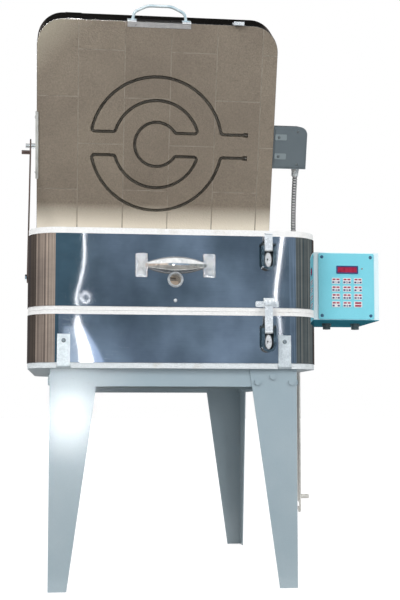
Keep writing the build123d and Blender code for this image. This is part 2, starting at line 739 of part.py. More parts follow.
def make_peephole():
    """Flanged steel tube through the front wall, and the small screws of the jackets."""
    with BuildPart() as peephole:
        with BuildSketch(Plane(origin=(0, FRONT_Y, PEEPHOLE_Z), x_dir=(1, 0, 0), z_dir=(0, 0, 1))):
            with BuildLine():
                Polyline(
                    (PEEPHOLE_RADIUS, -PEEPHOLE_LIP),
                    (PEEPHOLE_RADIUS + PEEPHOLE_TUBE, -PEEPHOLE_LIP),
                    (PEEPHOLE_RADIUS + 2.4, -PEEPHOLE_LIP / 2),
                    (PEEPHOLE_RIM, 0),
                    (PEEPHOLE_RADIUS + PEEPHOLE_TUBE, 0),
                    (PEEPHOLE_RADIUS + PEEPHOLE_TUBE, WALL + SHEET),
                    (PEEPHOLE_RADIUS, WALL + SHEET),
                    close=True,
                )
            make_face()
        revolve(axis=Axis((0, FRONT_Y, PEEPHOLE_Z), (0, 1, 0)))
    keep("peephole", peephole)

    with BuildPart() as jacket_screws:
        dome_head(peephole_screw_seat(), (0, -1, 0), SMALL_SCREW_HEAD, SMALL_SCREW_RISE, SCREW_SHANK, SHEET)
        for seat in seam_screw_seats(*RING_JACKET):
            dome_head(seat, (0, 1, 0), SMALL_SCREW_HEAD, SMALL_SCREW_RISE, SCREW_SHANK, 2 * SHEET)
    keep("jacket_screws", jacket_screws)

    with BuildPart() as seam_screws:
        for seat in seam_screw_seats(*BASE_JACKET):
            dome_head(seat, (0, 1, 0), SMALL_SCREW_HEAD, SMALL_SCREW_RISE, SCREW_SHANK, 2 * SHEET)
        for seat, inward in clip_screw_seats():
            dome_head(seat, (0, -inward, 0), 4.5, 2.4, SCREW_SHANK, CLIP_GAUGE + SHEET)
    keep("clip_screws", seam_screws)


def make_front_handle():
    """Bowed grip between two plates with a raised cross on each."""
    with BuildPart() as front_handle:
        for side in (-1, 1):
            with BuildSketch(front_plane()):
                with Locations((side * HANDLE_HALF_SPAN, HANDLE_Z)):
                    RectangleRounded(HANDLE_PLATE_WIDTH, HANDLE_PLATE_HEIGHT, 4)
            extrude(amount=HANDLE_PLATE_GAUGE)
            with BuildSketch(front_plane(FRONT_Y - HANDLE_PLATE_GAUGE)):
                with Locations((side * HANDLE_HALF_SPAN, HANDLE_Z)):
                    lean = degrees(atan2(HANDLE_PLATE_HEIGHT, HANDLE_PLATE_WIDTH))
                    for angle in (lean, -lean):
                        length = HANDLE_PLATE_HEIGHT - HANDLE_CROSS_MARGIN
                        Rectangle(length, HANDLE_CROSS_WIDTH, rotation=angle)
            extrude(amount=HANDLE_CROSS_RISE)
        grip_half = HANDLE_HALF_SPAN - HANDLE_PLATE_WIDTH / 2 + 5
        start_y = FRONT_Y - HANDLE_PLATE_GAUGE / 2 - 1
        with BuildLine(Plane.XY.offset(HANDLE_Z)) as bow:
            ThreePointArc(
                (-grip_half, start_y),
                (0, FRONT_Y - HANDLE_STAND_OFF),
                (grip_half, start_y),
            )
        path = bow.wires()[0]
        loft([grip_section(path, i / GRIP_STATIONS) for i in range(GRIP_STATIONS + 1)])
        with BuildSketch(front_plane()):
            Rectangle(4 * BODY_WIDTH, 4 * STAND_HEIGHT)
        extrude(amount=-20, mode=Mode.SUBTRACT)
    keep("front_handle", front_handle)


def grip_section(path, share):
    """Cross-section of the grip at a share of its bow, tallest in the middle."""
    height = GRIP_END_HEIGHT + (GRIP_HEIGHT - GRIP_END_HEIGHT) * sin(pi * share)
    with BuildSketch(Plane(origin=path @ share, x_dir=(0, 0, 1), z_dir=path % share)) as section:
        SlotOverall(height, GRIP_THICKNESS)
    return section.sketch


def hinge_centres(sign):
    """X start of each knuckle; sign 0 gives the middle one and 1 the outer pair."""
    for x in (-HINGE_X, HINGE_X):
        step = KNUCKLE_LENGTH + SIDE_CLEARANCE
        for place in ((0,) if sign == 0 else (-1, 1)):
            yield x + place * step - KNUCKLE_LENGTH / 2


def leaf_profile(z, up):
    """Leaf and knuckle arm seen from the side; up is 1 for a leaf above the axis."""
    with BuildLine() as outline:
        Polyline(
            (BACK_Y, z + up * 12),
            (BACK_Y, z + up * (12 + LEAF_LENGTH)),
            (BACK_Y + LEAF_GAUGE, z + up * (12 + LEAF_LENGTH)),
            (BACK_Y + LEAF_GAUGE, z + up * 22),
            (HINGE_Y + KNUCKLE_RADIUS * 0.8, z + up * KNUCKLE_RADIUS * 0.6),
            (HINGE_Y, z),
            (HINGE_Y - KNUCKLE_RADIUS * 0.9, z + up * KNUCKLE_RADIUS * 0.43),
            close=True,
        )
    make_face(outline.edges())
    with Locations((HINGE_Y, z)):
        Circle(KNUCKLE_RADIUS)


def make_leaf(name, z, up, middle):
    """Upright hinge leaves on a jacket, one set of knuckles on each side."""
    with BuildPart() as leaf:
        for start in hinge_centres(0 if middle else 1):
            with BuildSketch(side_plane(start)):
                leaf_profile(z, up)
            extrude(amount=KNUCKLE_LENGTH)
        for x in (-HINGE_X, HINGE_X):
            with BuildSketch(rear_plane()):
                with Locations((-x, z + up * (16 + LEAF_LENGTH / 2))):
                    Rectangle(3 * KNUCKLE_LENGTH, LEAF_LENGTH - 8)
            extrude(amount=LEAF_GAUGE)
        rod((-BODY_WIDTH, HINGE_Y, z), (1, 0, 0), HINGE_PIN_RADIUS + RUNNING_CLEARANCE,
            2 * BODY_WIDTH, Mode.SUBTRACT)
    keep(name, leaf)


def make_pins(name, z):
    """Headed pins through both hinges at one height."""
    reach = 1.5 * KNUCKLE_LENGTH + SIDE_CLEARANCE
    with BuildPart() as pins:
        for x in (-HINGE_X, HINGE_X):
            rod((x - reach - 3, HINGE_Y, z), (1, 0, 0), HINGE_PIN_RADIUS, 2 * reach + 6)
            rod((x - reach - 3, HINGE_Y, z), (1, 0, 0), HINGE_PIN_RADIUS + 2, 3)
            rod((x + reach, HINGE_Y, z), (1, 0, 0), HINGE_PIN_RADIUS + 2, 3)
    keep(name, pins)


def make_hinges():
    """Two hinge lines: base to ring, and ring to lid."""
    make_leaf("base_hinge_leaves", RING_HINGE.Z, -1, False)
    make_leaf("ring_lower_leaves", RING_HINGE.Z, 1, True)
    make_leaf("ring_upper_leaves", LID_HINGE.Z, -1, False)
    make_pins("ring_hinge_pins", RING_HINGE.Z)
    make_pins("lid_hinge_pins", LID_HINGE.Z)
    with BuildPart() as lid_leaves:
        for start in hinge_centres(0):
            with BuildSketch(lid_side_plane(start)):
                with BuildLine():
                    Polyline(
                        (LID_BACK_S, -12),
                        (LID_BACK_S, -12 - LEAF_LENGTH),
                        (LID_BACK_S - LEAF_GAUGE, -12 - LEAF_LENGTH),
                        (LID_BACK_S - LEAF_GAUGE, -22),
                        (-KNUCKLE_RADIUS * 0.8, -KNUCKLE_RADIUS * 0.6),
                        (0, 0),
                        (KNUCKLE_RADIUS * 0.9, -KNUCKLE_RADIUS * 0.43),
                        close=True,
                    )
                make_face()
                Circle(KNUCKLE_RADIUS)
            extrude(amount=KNUCKLE_LENGTH)
        for x in (-HINGE_X, HINGE_X):
            with BuildSketch(lid_end_plane(LID_BACK_S - LEAF_GAUGE)):
                with Locations((x, 16 + LEAF_LENGTH / 2)):
                    Rectangle(3 * KNUCKLE_LENGTH, LEAF_LENGTH - 8)
            extrude(amount=LEAF_GAUGE)
        rod((-BODY_WIDTH, HINGE_Y, LID_HINGE.Z), (1, 0, 0), HINGE_PIN_RADIUS + RUNNING_CLEARANCE,
            2 * BODY_WIDTH, Mode.SUBTRACT)
    keep("lid_hinge_leaves", lid_leaves)


def lid_section(depth, width, radius, shrink):
    """Lid outline at a depth, longer towards the back of the lid by its flare."""
    flare = LID_FLARE * depth / LID_THICKNESS
    low = LID_BACK_S + shrink
    high = LID_FRONT_S + flare - shrink
    with BuildSketch(lid_plane(depth, (low + high) / 2)) as section:
        RectangleRounded(width, high - low, radius)
    return section.sketch


def ring_corner(ring, outside, side):
    """Where a link meets a ring: point on the ring, middle of the bend, point on the link."""
    reach = ring + LINK_CORNER if outside else ring - LINK_CORNER
    y = LINK_HALF + LINK_CORNER
    centre = Vector(side * sqrt(reach**2 - y**2), y)
    on_ring = centre * (ring / reach)
    on_link = Vector(centre.X, LINK_HALF)
    middle = ((on_ring - centre) + (on_link - centre)).normalized() * LINK_CORNER + centre
    return on_ring, middle, on_link


def serpentine_steps():
    """Lines and arcs of the upper half of the element path, from its right-hand end."""
    outer_in = ring_corner(OUTER_RING, True, 1)
    outer_out = ring_corner(OUTER_RING, False, -1)
    middle_in = ring_corner(MIDDLE_RING, True, -1)
    middle_out = ring_corner(MIDDLE_RING, False, 1)
    inner_in = ring_corner(INNER_RING, True, 1)
    return [
        (Vector(ELEMENT_END_X, LINK_HALF), outer_in[2]),
        (outer_in[2], outer_in[1], outer_in[0]),
        (outer_in[0], Vector(0, OUTER_RING), outer_out[0]),
        (outer_out[0], outer_out[1], outer_out[2]),
        (outer_out[2], middle_in[2]),
        (middle_in[2], middle_in[1], middle_in[0]),
        (middle_in[0], Vector(0, MIDDLE_RING), middle_out[0]),
        (middle_out[0], middle_out[1], middle_out[2]),
        (middle_out[2], inner_in[2]),
        (inner_in[2], inner_in[1], inner_in[0]),
    ]


def draw_serpentine():
    """The whole element path as one line, inside the BuildLine being built."""
    upper = serpentine_steps()
    for step in upper:
        draw_step(step)
    last = upper[-1][-1]
    ThreePointArc((last.X, last.Y), (-INNER_RING, 0), (last.X, -last.Y))
    for step in reversed(upper):
        draw_step([Vector(point.X, -point.Y) for point in reversed(step)])


def draw_step(points):
    """One line or one arc of the path, its points taken in the plane being drawn on."""
    spots = [(point.X, point.Y) for point in points]
    if len(spots) == 2:
        Line(*spots)
    else:
        ThreePointArc(*spots)


def element_tail_ends():
    """Start and end of each straight tail from the groove to the terminal box."""
    depth = GROOVE_DEPTH - ELEMENT_RADIUS - 0.4
    for sign in (-1, 1):
        start = lid_point(ELEMENT_END_X, LID_MIDDLE_S + sign * LINK_HALF, depth)
        end = lid_point(SIDE_X + 22, LID_MIDDLE_S + sign * LINK_HALF, depth + TAIL_DROP)
        yield start, end - start


def make_lid():
    """Lid bricks with the element groove, their band, and the element."""
    with BuildPart() as lid_bricks:
        inner_radius = CORNER_RADIUS - SHEET
        face = lid_section(0, BRICK_WIDTH, inner_radius, SHEET)
        top = lid_section(LID_THICKNESS, BRICK_WIDTH, inner_radius, SHEET)
        loft([face, top], ruled=True)
        with BuildSketch(lid_plane(0, LID_MIDDLE_S)):
            with BuildLine():
                draw_serpentine()
            trace(line_width=GROOVE_WIDTH)
        extrude(amount=-GROOVE_DEPTH, mode=Mode.SUBTRACT)
        with BuildSketch(lid_plane(0, LID_MIDDLE_S)):
            with Locations((ELEMENT_END_X, LINK_HALF), (ELEMENT_END_X, -LINK_HALF)):
                Rectangle(TERMINAL_HOLE, TERMINAL_HOLE)
        extrude(amount=-GROOVE_DEPTH, mode=Mode.SUBTRACT)
        with BuildSketch(lid_plane()):
            cut_lid_joints()
        extrude(amount=-JOINT_DEPTH, mode=Mode.SUBTRACT)
        for start, line in element_tail_ends():
            rod(start, line, ELEMENT_RADIUS + 1, line.length, Mode.SUBTRACT)
        with BuildSketch(lid_plane()):
            with Locations((0, LID_FRONT_S - LID_STRIP_DEPTH / 2)):
                Rectangle(LID_STRIP_WIDTH + 1, LID_STRIP_DEPTH + 1)
            with Locations((-SIDE_X, (BRACKET_LOW + BRACKET_HIGH) / 2)):
                Rectangle(2 * BRACKET_LEG + 1, BRACKET_HIGH - BRACKET_LOW + 1)
        extrude(amount=-LID_STRIP_GAUGE, mode=Mode.SUBTRACT)
    keep("lid_bricks", lid_bricks)

    with BuildPart() as lid_jacket:
        low = lid_section(LID_JACKET_SET_BACK, BODY_WIDTH, CORNER_RADIUS, 0)
        high = lid_section(LID_THICKNESS, BODY_WIDTH, CORNER_RADIUS, 0)
        loft([low, high], ruled=True)
        loft([face, top], ruled=True, mode=Mode.SUBTRACT)
        for start, line in element_tail_ends():
            rod(start, line, ELEMENT_RADIUS + 1, line.length, Mode.SUBTRACT)
        make_lid_lap()
    keep("lid_jacket", lid_jacket)

    with BuildPart() as lid_element:
        with BuildLine(lid_plane(GROOVE_DEPTH - ELEMENT_RADIUS - 0.4, LID_MIDDLE_S)) as path:
            draw_serpentine()
        with BuildSketch(Plane(origin=path.wires()[0] @ 0, z_dir=path.wires()[0] % 0)):
            RegularPolygon(ELEMENT_RADIUS, 8)
        sweep(path=path.wires()[0])
        for start, line in element_tail_ends():
            rod(start, line, ELEMENT_RADIUS - 0.3, line.length)
    keep("lid_element", lid_element)


def cut_lid_joints():
    """Cement lines between the bricks of the lid face, as in a running bond."""
    low = LID_BACK_S
    high = LID_FRONT_S
    for column in range(-2, 3):
        x = JOINT_X + column * BRICK_BREADTH
        with Locations((x, (low + high) / 2)):
            Rectangle(JOINT_WIDTH, high - low)
    for column in range(-3, 3):
        left = max(JOINT_X + column * BRICK_BREADTH, -SIDE_X)
        right = min(JOINT_X + (column + 1) * BRICK_BREADTH, SIDE_X)
        offset = 0 if column % 2 else BRICK_BREADTH
        for row in range(-1, 3):
            s = JOINT_S + offset + row * BRICK_LENGTH
            if low + 20 < s < high - 20:
                with Locations(((left + right) / 2, s)):
                    Rectangle(right - left, JOINT_WIDTH)


def make_lid_lap():
    """Lapped end of the lid band, on the sloped front left of the middle."""
    slope = LID_FLARE / LID_THICKNESS
    with BuildSketch(lid_side_plane(-SIDE_X + CORNER_RADIUS + 4)) as lap:
        with BuildLine():
            Polyline(
                (LID_FRONT_S + slope * LID_JACKET_SET_BACK, -LID_JACKET_SET_BACK),
                (LID_FRONT_S + LID_FLARE, -LID_THICKNESS),
                (LID_FRONT_S + LID_FLARE + SHEET, -LID_THICKNESS),
                (LID_FRONT_S + slope * LID_JACKET_SET_BACK + SHEET, -LID_JACKET_SET_BACK),
                close=True,
            )
        make_face()
    extrude(lap.sketch, amount=40)


def make_lid_fittings():
    """Handle, its bracket, the catch and the bracket for the prop bar."""
    slope = LID_FLARE / LID_THICKNESS
    with BuildPart() as handle_bracket:
        with BuildSketch(lid_side_plane(-LID_STRIP_WIDTH / 2)):
            with BuildLine():
                Polyline(
                    (LID_FRONT_S - LID_STRIP_DEPTH, 0),
                    (LID_FRONT_S + SHEET + 1.6, 0),
                    (LID_FRONT_S + SHEET + 1.6 + slope * 18, -18),
                    (LID_FRONT_S + slope * 18, -18),
                    (LID_FRONT_S, -LID_STRIP_GAUGE),
                    (LID_FRONT_S - LID_STRIP_DEPTH, -LID_STRIP_GAUGE),
                    close=True,
                )
            make_face()
        extrude(amount=LID_STRIP_WIDTH)
        cut_lid_band()
    keep("handle_bracket", handle_bracket)

    foot_s = LID_FRONT_S + SHEET + 1.6 + slope * 8
    depth = 8.0
    with BuildPart() as lid_handle:
        with BuildLine(lid_plane(depth)) as bow:
            FilletPolyline(
                (-LID_HANDLE_HALF_SPAN, foot_s),
                (-LID_HANDLE_HALF_SPAN + 4, foot_s + LID_HANDLE_REACH * 0.55),
                (-LID_HANDLE_HALF_SPAN * 0.45, foot_s + LID_HANDLE_REACH),
                (LID_HANDLE_HALF_SPAN * 0.45, foot_s + LID_HANDLE_REACH),
                (LID_HANDLE_HALF_SPAN - 4, foot_s + LID_HANDLE_REACH * 0.55),
                (LID_HANDLE_HALF_SPAN, foot_s),
                radius=[16, 42, 42, 16],
            )
        with BuildSketch(Plane(origin=bow.wires()[0] @ 0, z_dir=bow.wires()[0] % 0)):
            Circle(LID_HANDLE_ROD)
        sweep(path=bow.wires()[0])
        for side in (-1, 1):
            with BuildSketch(lid_end_plane(foot_s - 0.8)):
                with Locations((side * LID_HANDLE_HALF_SPAN, depth)):
                    RectangleRounded(20, 13, 4)
            extrude(amount=2.6)
        with BuildSketch(lid_side_plane(-LID_STRIP_WIDTH / 2)):
            with BuildLine():
                Polyline(
                    (LID_FRONT_S - 20, 4),
                    (LID_FRONT_S + SHEET + 1.6 - slope * 4, 4),
                    (LID_FRONT_S + SHEET + 1.6 + slope * 18, -18),
                    (LID_FRONT_S - 20, -18),
                    close=True,
                )
            make_face()
        extrude(amount=LID_STRIP_WIDTH, mode=Mode.SUBTRACT)
    keep("lid_handle", lid_handle)

    with BuildPart() as lid_catch:
        with BuildSketch(lid_side_plane(CATCH_X - CATCH_WIDTH / 2)):
            near = LID_FRONT_S + 0.7
            with BuildLine():
                Polyline(
                    (near, CATCH_DROP),
                    (near + 8.6, CATCH_DROP),
                    (near + 8.6, CATCH_DROP - 5),
                    (near + 2.4, CATCH_DROP - 5),
                    (near + 2.4, 0),
                    (LID_FRONT_S + 2 + slope * 22, -22),
                    (LID_FRONT_S + slope * 22, -22),
                    (LID_FRONT_S + slope * LID_JACKET_SET_BACK, -LID_JACKET_SET_BACK),
                    (near, -1),
                    close=True,
                )
            make_face()
        extrude(amount=CATCH_WIDTH)
    keep("lid_catch", lid_catch)

    with BuildPart() as prop_bracket:
        with BuildSketch(lid_end_plane(BRACKET_LOW)):
            with BuildLine():
                Polyline(
                    (-SIDE_X - BRACKET_GAUGE, 0),
                    (-SIDE_X + BRACKET_LEG - BRACKET_GAUGE, 0),
                    (-SIDE_X + BRACKET_LEG - BRACKET_GAUGE, LID_STRIP_GAUGE),
                    (-SIDE_X, LID_STRIP_GAUGE),
                    (-SIDE_X, BRACKET_DEPTH),
                    (-SIDE_X - BRACKET_GAUGE, BRACKET_DEPTH),
                    close=True,
                )
            make_face()
        extrude(amount=BRACKET_HIGH - BRACKET_LOW)
        for seat in bracket_screw_seats():
            screw_hole(seat, (1, 0, 0), SCREW_SHANK, BRACKET_GAUGE)
    keep("prop_bracket", prop_bracket)

    with BuildPart() as lid_prop_stud:
        seat = lid_point(-SIDE_X - BRACKET_GAUGE, LID_STUD_S, LID_STUD_DEPTH)
        make_stud(seat, (-1, 0, 0), PROP_STAND_OFF - BRACKET_GAUGE, 10)
        for seat in bracket_screw_seats():
            dome_head(seat, (-1, 0, 0), 4.5, 2.4, SCREW_SHANK, BRACKET_GAUGE)
    keep("lid_prop_stud", lid_prop_stud)


def bracket_screw_seats():
    """Seats of the two screws in the prop bar's bracket on the lid."""
    for s in (BRACKET_LOW + 14, BRACKET_HIGH - 14):
        yield lid_point(-SIDE_X - BRACKET_GAUGE, s, 20)


def cut_lid_band():
    """Take the space of the lid band out of a fitting on its sloped front."""
    slope = LID_FLARE / LID_THICKNESS
    with BuildSketch(lid_side_plane(-SIDE_X)) as band:
        with BuildLine():
            Polyline(
                (LID_FRONT_S - 8, -LID_JACKET_SET_BACK),
                (LID_FRONT_S + slope * LID_JACKET_SET_BACK, -LID_JACKET_SET_BACK),
                (LID_FRONT_S + slope * 30, -30),
                (LID_FRONT_S - 8, -30),
                close=True,
            )
        make_face()
    extrude(band.sketch, amount=BODY_WIDTH, mode=Mode.SUBTRACT)


def make_stud(seat, outward, gap, head_reach):
    """Shouldered stud: a spacer up to the bar, the stud through it, and a small head."""
    outward = Vector(*outward)
    seat = Vector(*seat)
    rod(seat, outward, PROP_PIN_RADIUS + 2.2, gap - 0.4)
    rod(seat, outward, PROP_PIN_RADIUS, gap + PROP_GAUGE + 0.6)
    rod(seat + outward * (gap + PROP_GAUGE + 0.4), outward, PROP_PIN_RADIUS + 1.4, head_reach)


def make_prop(name, pivot, toward, outward):
    """Flat prop bar with an open notch near its end and a peg to lift it by."""
    bar = Plane(origin=pivot, x_dir=toward, z_dir=outward)
    reach = PROP_LENGTH - PROP_WIDTH / 2
    with BuildPart() as prop:
        with BuildSketch(bar):
            with Locations((reach / 2, 0)):
                SlotCenterToCenter(reach, PROP_WIDTH)
            Circle(PROP_PIN_RADIUS + RUNNING_CLEARANCE, mode=Mode.SUBTRACT)
            notch = PROP_PIN_RADIUS + NOTCH_CLEARANCE
            with Locations((PROP_NOTCH, 0)):
                Circle(notch, mode=Mode.SUBTRACT)
            with BuildLine():
                Polyline(
                    (PROP_NOTCH - notch, 0),
                    (PROP_NOTCH - notch - 3.5, PROP_WIDTH / 2 + 1),
                    (PROP_NOTCH + notch + 1, PROP_WIDTH / 2 + 1),
                    (PROP_NOTCH + notch, 0),
                    close=True,
                )
            make_face(mode=Mode.SUBTRACT)
        extrude(amount=PROP_GAUGE)
        peg = Vector(*pivot) + Vector(*toward).normalized() * PROP_PEG
        outward = Vector(*outward)
        rod(peg, outward, PROP_PEG_RADIUS, PROP_GAUGE + PROP_PEG_LENGTH)
    keep(name, prop)


def lid_prop_pivot_point():
    """Pivot of the lid prop, so that its notch meets the stud on the open lid."""
    stud = lid_point(0, LID_STUD_S, LID_STUD_DEPTH)
    rise = sqrt(PROP_NOTCH**2 - (stud.Y - LID_PROP_Y) ** 2)
    return stud, Vector(0, LID_PROP_Y, stud.Z - rise)


def make_props():
    """Both prop bars with their pivots, and the stud on the ring."""
    stud, pivot = lid_prop_pivot_point()
    toward = stud - pivot
    left = Vector(-PROP_X, pivot.Y, pivot.Z)
    make_prop("lid_prop", left, toward, (-1, 0, 0))
    with BuildPart() as lid_prop_pivot:
        make_pivot((-SIDE_X, pivot.Y, pivot.Z), (-1, 0, 0))
    keep("lid_prop_pivot", lid_prop_pivot)
    make_prop("ring_prop", Vector(PROP_X, RING_PROP_Y, RING_PROP_Z), (0, 0, -1), (1, 0, 0))
    with BuildPart() as ring_prop_pivot:
        make_pivot((SIDE_X, RING_PROP_Y, RING_PROP_Z), (1, 0, 0))
    keep("ring_prop_pivot", ring_prop_pivot)
    with BuildPart() as ring_prop_stud:
        make_stud((SIDE_X, RING_STUD_Y, RING_STUD_Z), (1, 0, 0), PROP_STAND_OFF, 2.6)
    keep("ring_prop_stud", ring_prop_stud)


def make_pivot(seat, outward):
    """Shouldered pivot bolt with its head outside the bar."""
    outward = Vector(*outward)
    seat = Vector(*seat)
    rod(seat, outward, PROP_PIN_RADIUS + 4, PROP_STAND_OFF - 0.3)
    rod(seat, outward, PROP_PIN_RADIUS, PROP_STAND_OFF + PROP_GAUGE + 1)
    head = seat + outward * (PROP_STAND_OFF + PROP_GAUGE + 0.3)
    with BuildSketch(Plane(origin=head, z_dir=outward)) as hexagon:
        RegularPolygon(PROP_PIN_RADIUS + 4, 6)
    extrude(hexagon.sketch, amount=4)


def latch_plane(x):
    """Side profile plane of a latch: local x = distance out of the jacket, y = Z."""
    return Plane(origin=(x, FRONT_Y, 0), x_dir=(0, -1, 0), z_dir=(-1, 0, 0))


def lever_outline(axis_z, shrink, rise):
    """Lever seen from the front, its sides straight and its lower end round."""
    half = LATCH_LEVER_WIDTH / 2 - shrink
    low = axis_z - LATCH_LEVER_LENGTH + LATCH_LEVER_WIDTH / 2
    with Locations((LATCH_X, (axis_z + rise + low) / 2)):
        Rectangle(2 * half, axis_z + rise - low)
    with Locations((LATCH_X, low)):
        Circle(half)


def boss_section(boss_z, rise):
    """Oval section of the raised boss at a height over its plate, with drafted sides."""
    draft = LATCH_BOSS_DRAFT * rise
    with BuildSketch(front_plane(FRONT_Y - LATCH_GAUGE - rise)) as section:
        with Locations((LATCH_X, boss_z)):
            Ellipse(LATCH_BOSS_HALF_WIDTH - draft, LATCH_BOSS_HALF_HEIGHT - draft)
    return section.sketch


def make_latch_plate(prefix, axis_z):
    """Base plate with its two ears, the pin between them and the oval boss."""
    ear_inner = LATCH_STRAP_WIDTH / 2 + LATCH_EAR_GAP
    shift_x, shift_z = LATCH_KEYHOLE_SHIFT
    boss_z = axis_z - LATCH_BOSS_DROP
    with BuildPart() as plate:
        with BuildSketch(front_plane()):
            with Locations((LATCH_X, axis_z - LATCH_LEVER_LENGTH / 2 + LATCH_PLATE_OVER)):
                RectangleRounded(
                    LATCH_LEVER_WIDTH - LATCH_PLATE_NARROWING,
                    LATCH_LEVER_LENGTH + LATCH_PLATE_OVER,
                    LATCH_PLATE_CORNER,
                )
        extrude(amount=LATCH_GAUGE)
        loft([boss_section(boss_z, 0), boss_section(boss_z, LATCH_BOSS_RISE)], ruled=True)
        with BuildSketch(front_plane(FRONT_Y - LATCH_GAUGE - LATCH_BOSS_RISE)):
            with Locations((LATCH_X - shift_x, boss_z + shift_z)):
                Circle(LATCH_KEYHOLE_RADIUS)
            with Locations((LATCH_X - shift_x, boss_z - shift_z)):
                Rectangle(*LATCH_KEYHOLE_SLOT)
        extrude(amount=-LATCH_BOSS_RISE, mode=Mode.SUBTRACT)
        for x in (LATCH_X - ear_inner, LATCH_X + ear_inner + LATCH_EAR):
            with BuildSketch(latch_plane(x)):
                with Locations((LATCH_AXIS_OUT / 2, axis_z)):
                    Rectangle(LATCH_AXIS_OUT, 2 * LATCH_EAR_RADIUS)
                with Locations((LATCH_AXIS_OUT, axis_z)):
                    Circle(LATCH_EAR_RADIUS)
            extrude(amount=LATCH_EAR)
        reach = LATCH_LEVER_WIDTH / 2 + LATCH_PIN_OVER
        rod((LATCH_X - reach, FRONT_Y - LATCH_AXIS_OUT, axis_z), (1, 0, 0), LATCH_PIN, 2 * reach)
    keep(prefix + "_latch_plate", plate)


def make_latch_lever(prefix, axis_z):
    """Dished lever: walls round its sides and lower end, a long window, and the strap's pin."""
    out = LATCH_AXIS_OUT
    face_out = out + LATCH_FACE_OUT
    back_out = face_out - LATCH_WALL_DEPTH
    window_half = LATCH_STRAP_WIDTH / 2 + LATCH_WINDOW_GAP
    window_top = LATCH_LEVER_TOP + 1
    ear_outer = LATCH_STRAP_WIDTH / 2 + LATCH_EAR_GAP + LATCH_EAR
    ear_slot_half = ear_outer + LATCH_EAR_SLOT_GAP
    top_out, top_high, top_low = LATCH_TOP_CUT
    heel_in, heel_high, heel_low = LATCH_HEEL_CUT
    with BuildPart() as lever:
        with BuildSketch(front_plane(FRONT_Y - back_out)):
            lever_outline(axis_z, 0, LATCH_LEVER_TOP)
        extrude(amount=LATCH_WALL_DEPTH + LATCH_GAUGE)
        with BuildSketch(front_plane(FRONT_Y - back_out)):
            lever_outline(axis_z, LATCH_GAUGE, window_top)
        extrude(amount=LATCH_WALL_DEPTH, mode=Mode.SUBTRACT)
        with BuildSketch(front_plane(FRONT_Y - face_out)):
            with Locations((LATCH_X, axis_z + (window_top - LATCH_WINDOW_DROP) / 2)):
                Rectangle(2 * window_half, LATCH_WINDOW_DROP + window_top)
            with Locations((LATCH_X, axis_z - LATCH_WINDOW_DROP)):
                Circle(window_half)
            with Locations((LATCH_X, axis_z + (window_top - LATCH_EAR_SLOT) / 2)):
                Rectangle(2 * ear_slot_half, LATCH_EAR_SLOT + window_top)
        extrude(amount=LATCH_GAUGE, mode=Mode.SUBTRACT)
        with BuildSketch(latch_plane(LATCH_X + LATCH_LEVER_WIDTH)):
            with BuildLine():
                Polyline(
                    (out, axis_z + LATCH_LEVER_TOP),
                    (out + top_out, axis_z + top_high),
                    (out + top_out, axis_z - top_low),
                    close=True,
                )
            make_face()
            with BuildLine():
                Polyline(
                    (out, axis_z + LATCH_LEVER_TOP),
                    (out - heel_in, axis_z + heel_high),
                    (out - heel_in, axis_z - heel_low),
                    close=True,
                )
            make_face()
            with Locations((out, axis_z)):
                Circle(LATCH_PIN + RUNNING_CLEARANCE)
        extrude(amount=2 * LATCH_LEVER_WIDTH, mode=Mode.SUBTRACT)
        pin_x = LATCH_X - LATCH_LEVER_WIDTH / 2 + LATCH_PIN_INSET
        rod((pin_x, FRONT_Y - out - LATCH_LINK_OUT, axis_z - LATCH_LINK), (1, 0, 0),
            LATCH_PIN_SMALL, LATCH_LEVER_WIDTH - 2 * LATCH_PIN_INSET)
    keep(prefix + "_latch_lever", lever)


def make_latch_strap(prefix, axis_z, strap_reach):
    """Strap with a rolled eye on the lever's pin and a hooked upper end."""
    out = LATCH_AXIS_OUT
    low = axis_z - LATCH_LINK
    high = axis_z + strap_reach
    lip_front, lip_back = STRAP_LIP
    with BuildPart() as strap:
        with BuildSketch(latch_plane(LATCH_X + LATCH_STRAP_WIDTH / 2)):
            with Locations((out + LATCH_LINK_OUT, low)):
                Circle(STRAP_EYE_RADIUS)
            with BuildLine():
                Polyline(
                    (out + STRAP_BACK_OUT, low),
                    (out + STRAP_BACK_OUT, high),
                    (out + STRAP_LIP_OUT, high),
                    (out + STRAP_LIP_OUT, high - lip_front),
                    (out + STRAP_FACE_OUT, high - lip_back),
                    (out + STRAP_FACE_OUT, low + STRAP_EYE_LAP),
                    close=True,
                )
            make_face()
            with Locations((out + LATCH_LINK_OUT, low)):
                Circle(LATCH_PIN_SMALL + RUNNING_CLEARANCE, mode=Mode.SUBTRACT)
        extrude(amount=LATCH_STRAP_WIDTH)
    keep(prefix + "_latch_strap", strap)


def make_latch(prefix, axis_z, strap_reach):
    """One draw latch: base plate, lever and strap."""
    make_latch_plate(prefix, axis_z)
    make_latch_lever(prefix, axis_z)
    make_latch_strap(prefix, axis_z, strap_reach)


def make_ring_catch():
    """Catch of the lower latch on the ring's lower edge."""
    low = RING_JACKET[0]
    middle_x = LATCH_X - CATCH_SHIFT
    width, height, gauge = CATCH_PLATE
    with BuildPart() as ring_catch:
        with BuildSketch(front_plane()):
            with Locations((middle_x, low + CATCH_PLATE_RISE)):
                RectangleRounded(width, height, LATCH_PLATE_CORNER)
        extrude(amount=gauge)
        with BuildSketch(latch_plane(middle_x + CATCH_BLOCK_WIDTH / 2 + 3)):
            with BuildLine():
                Polyline(*[(out, low + rise) for out, rise in CATCH_BLOCK], close=True)
            make_face()
        extrude(amount=CATCH_BLOCK_WIDTH)
        for side in (-1, 1):
            seat = (middle_x + side * CATCH_SCREW_SPAN, FRONT_Y - gauge, low + CATCH_PLATE_RISE)
            dome_head(seat, (0, -1, 0), 3, 1.6, 1.4, gauge)
    keep("ring_catch", ring_catch)


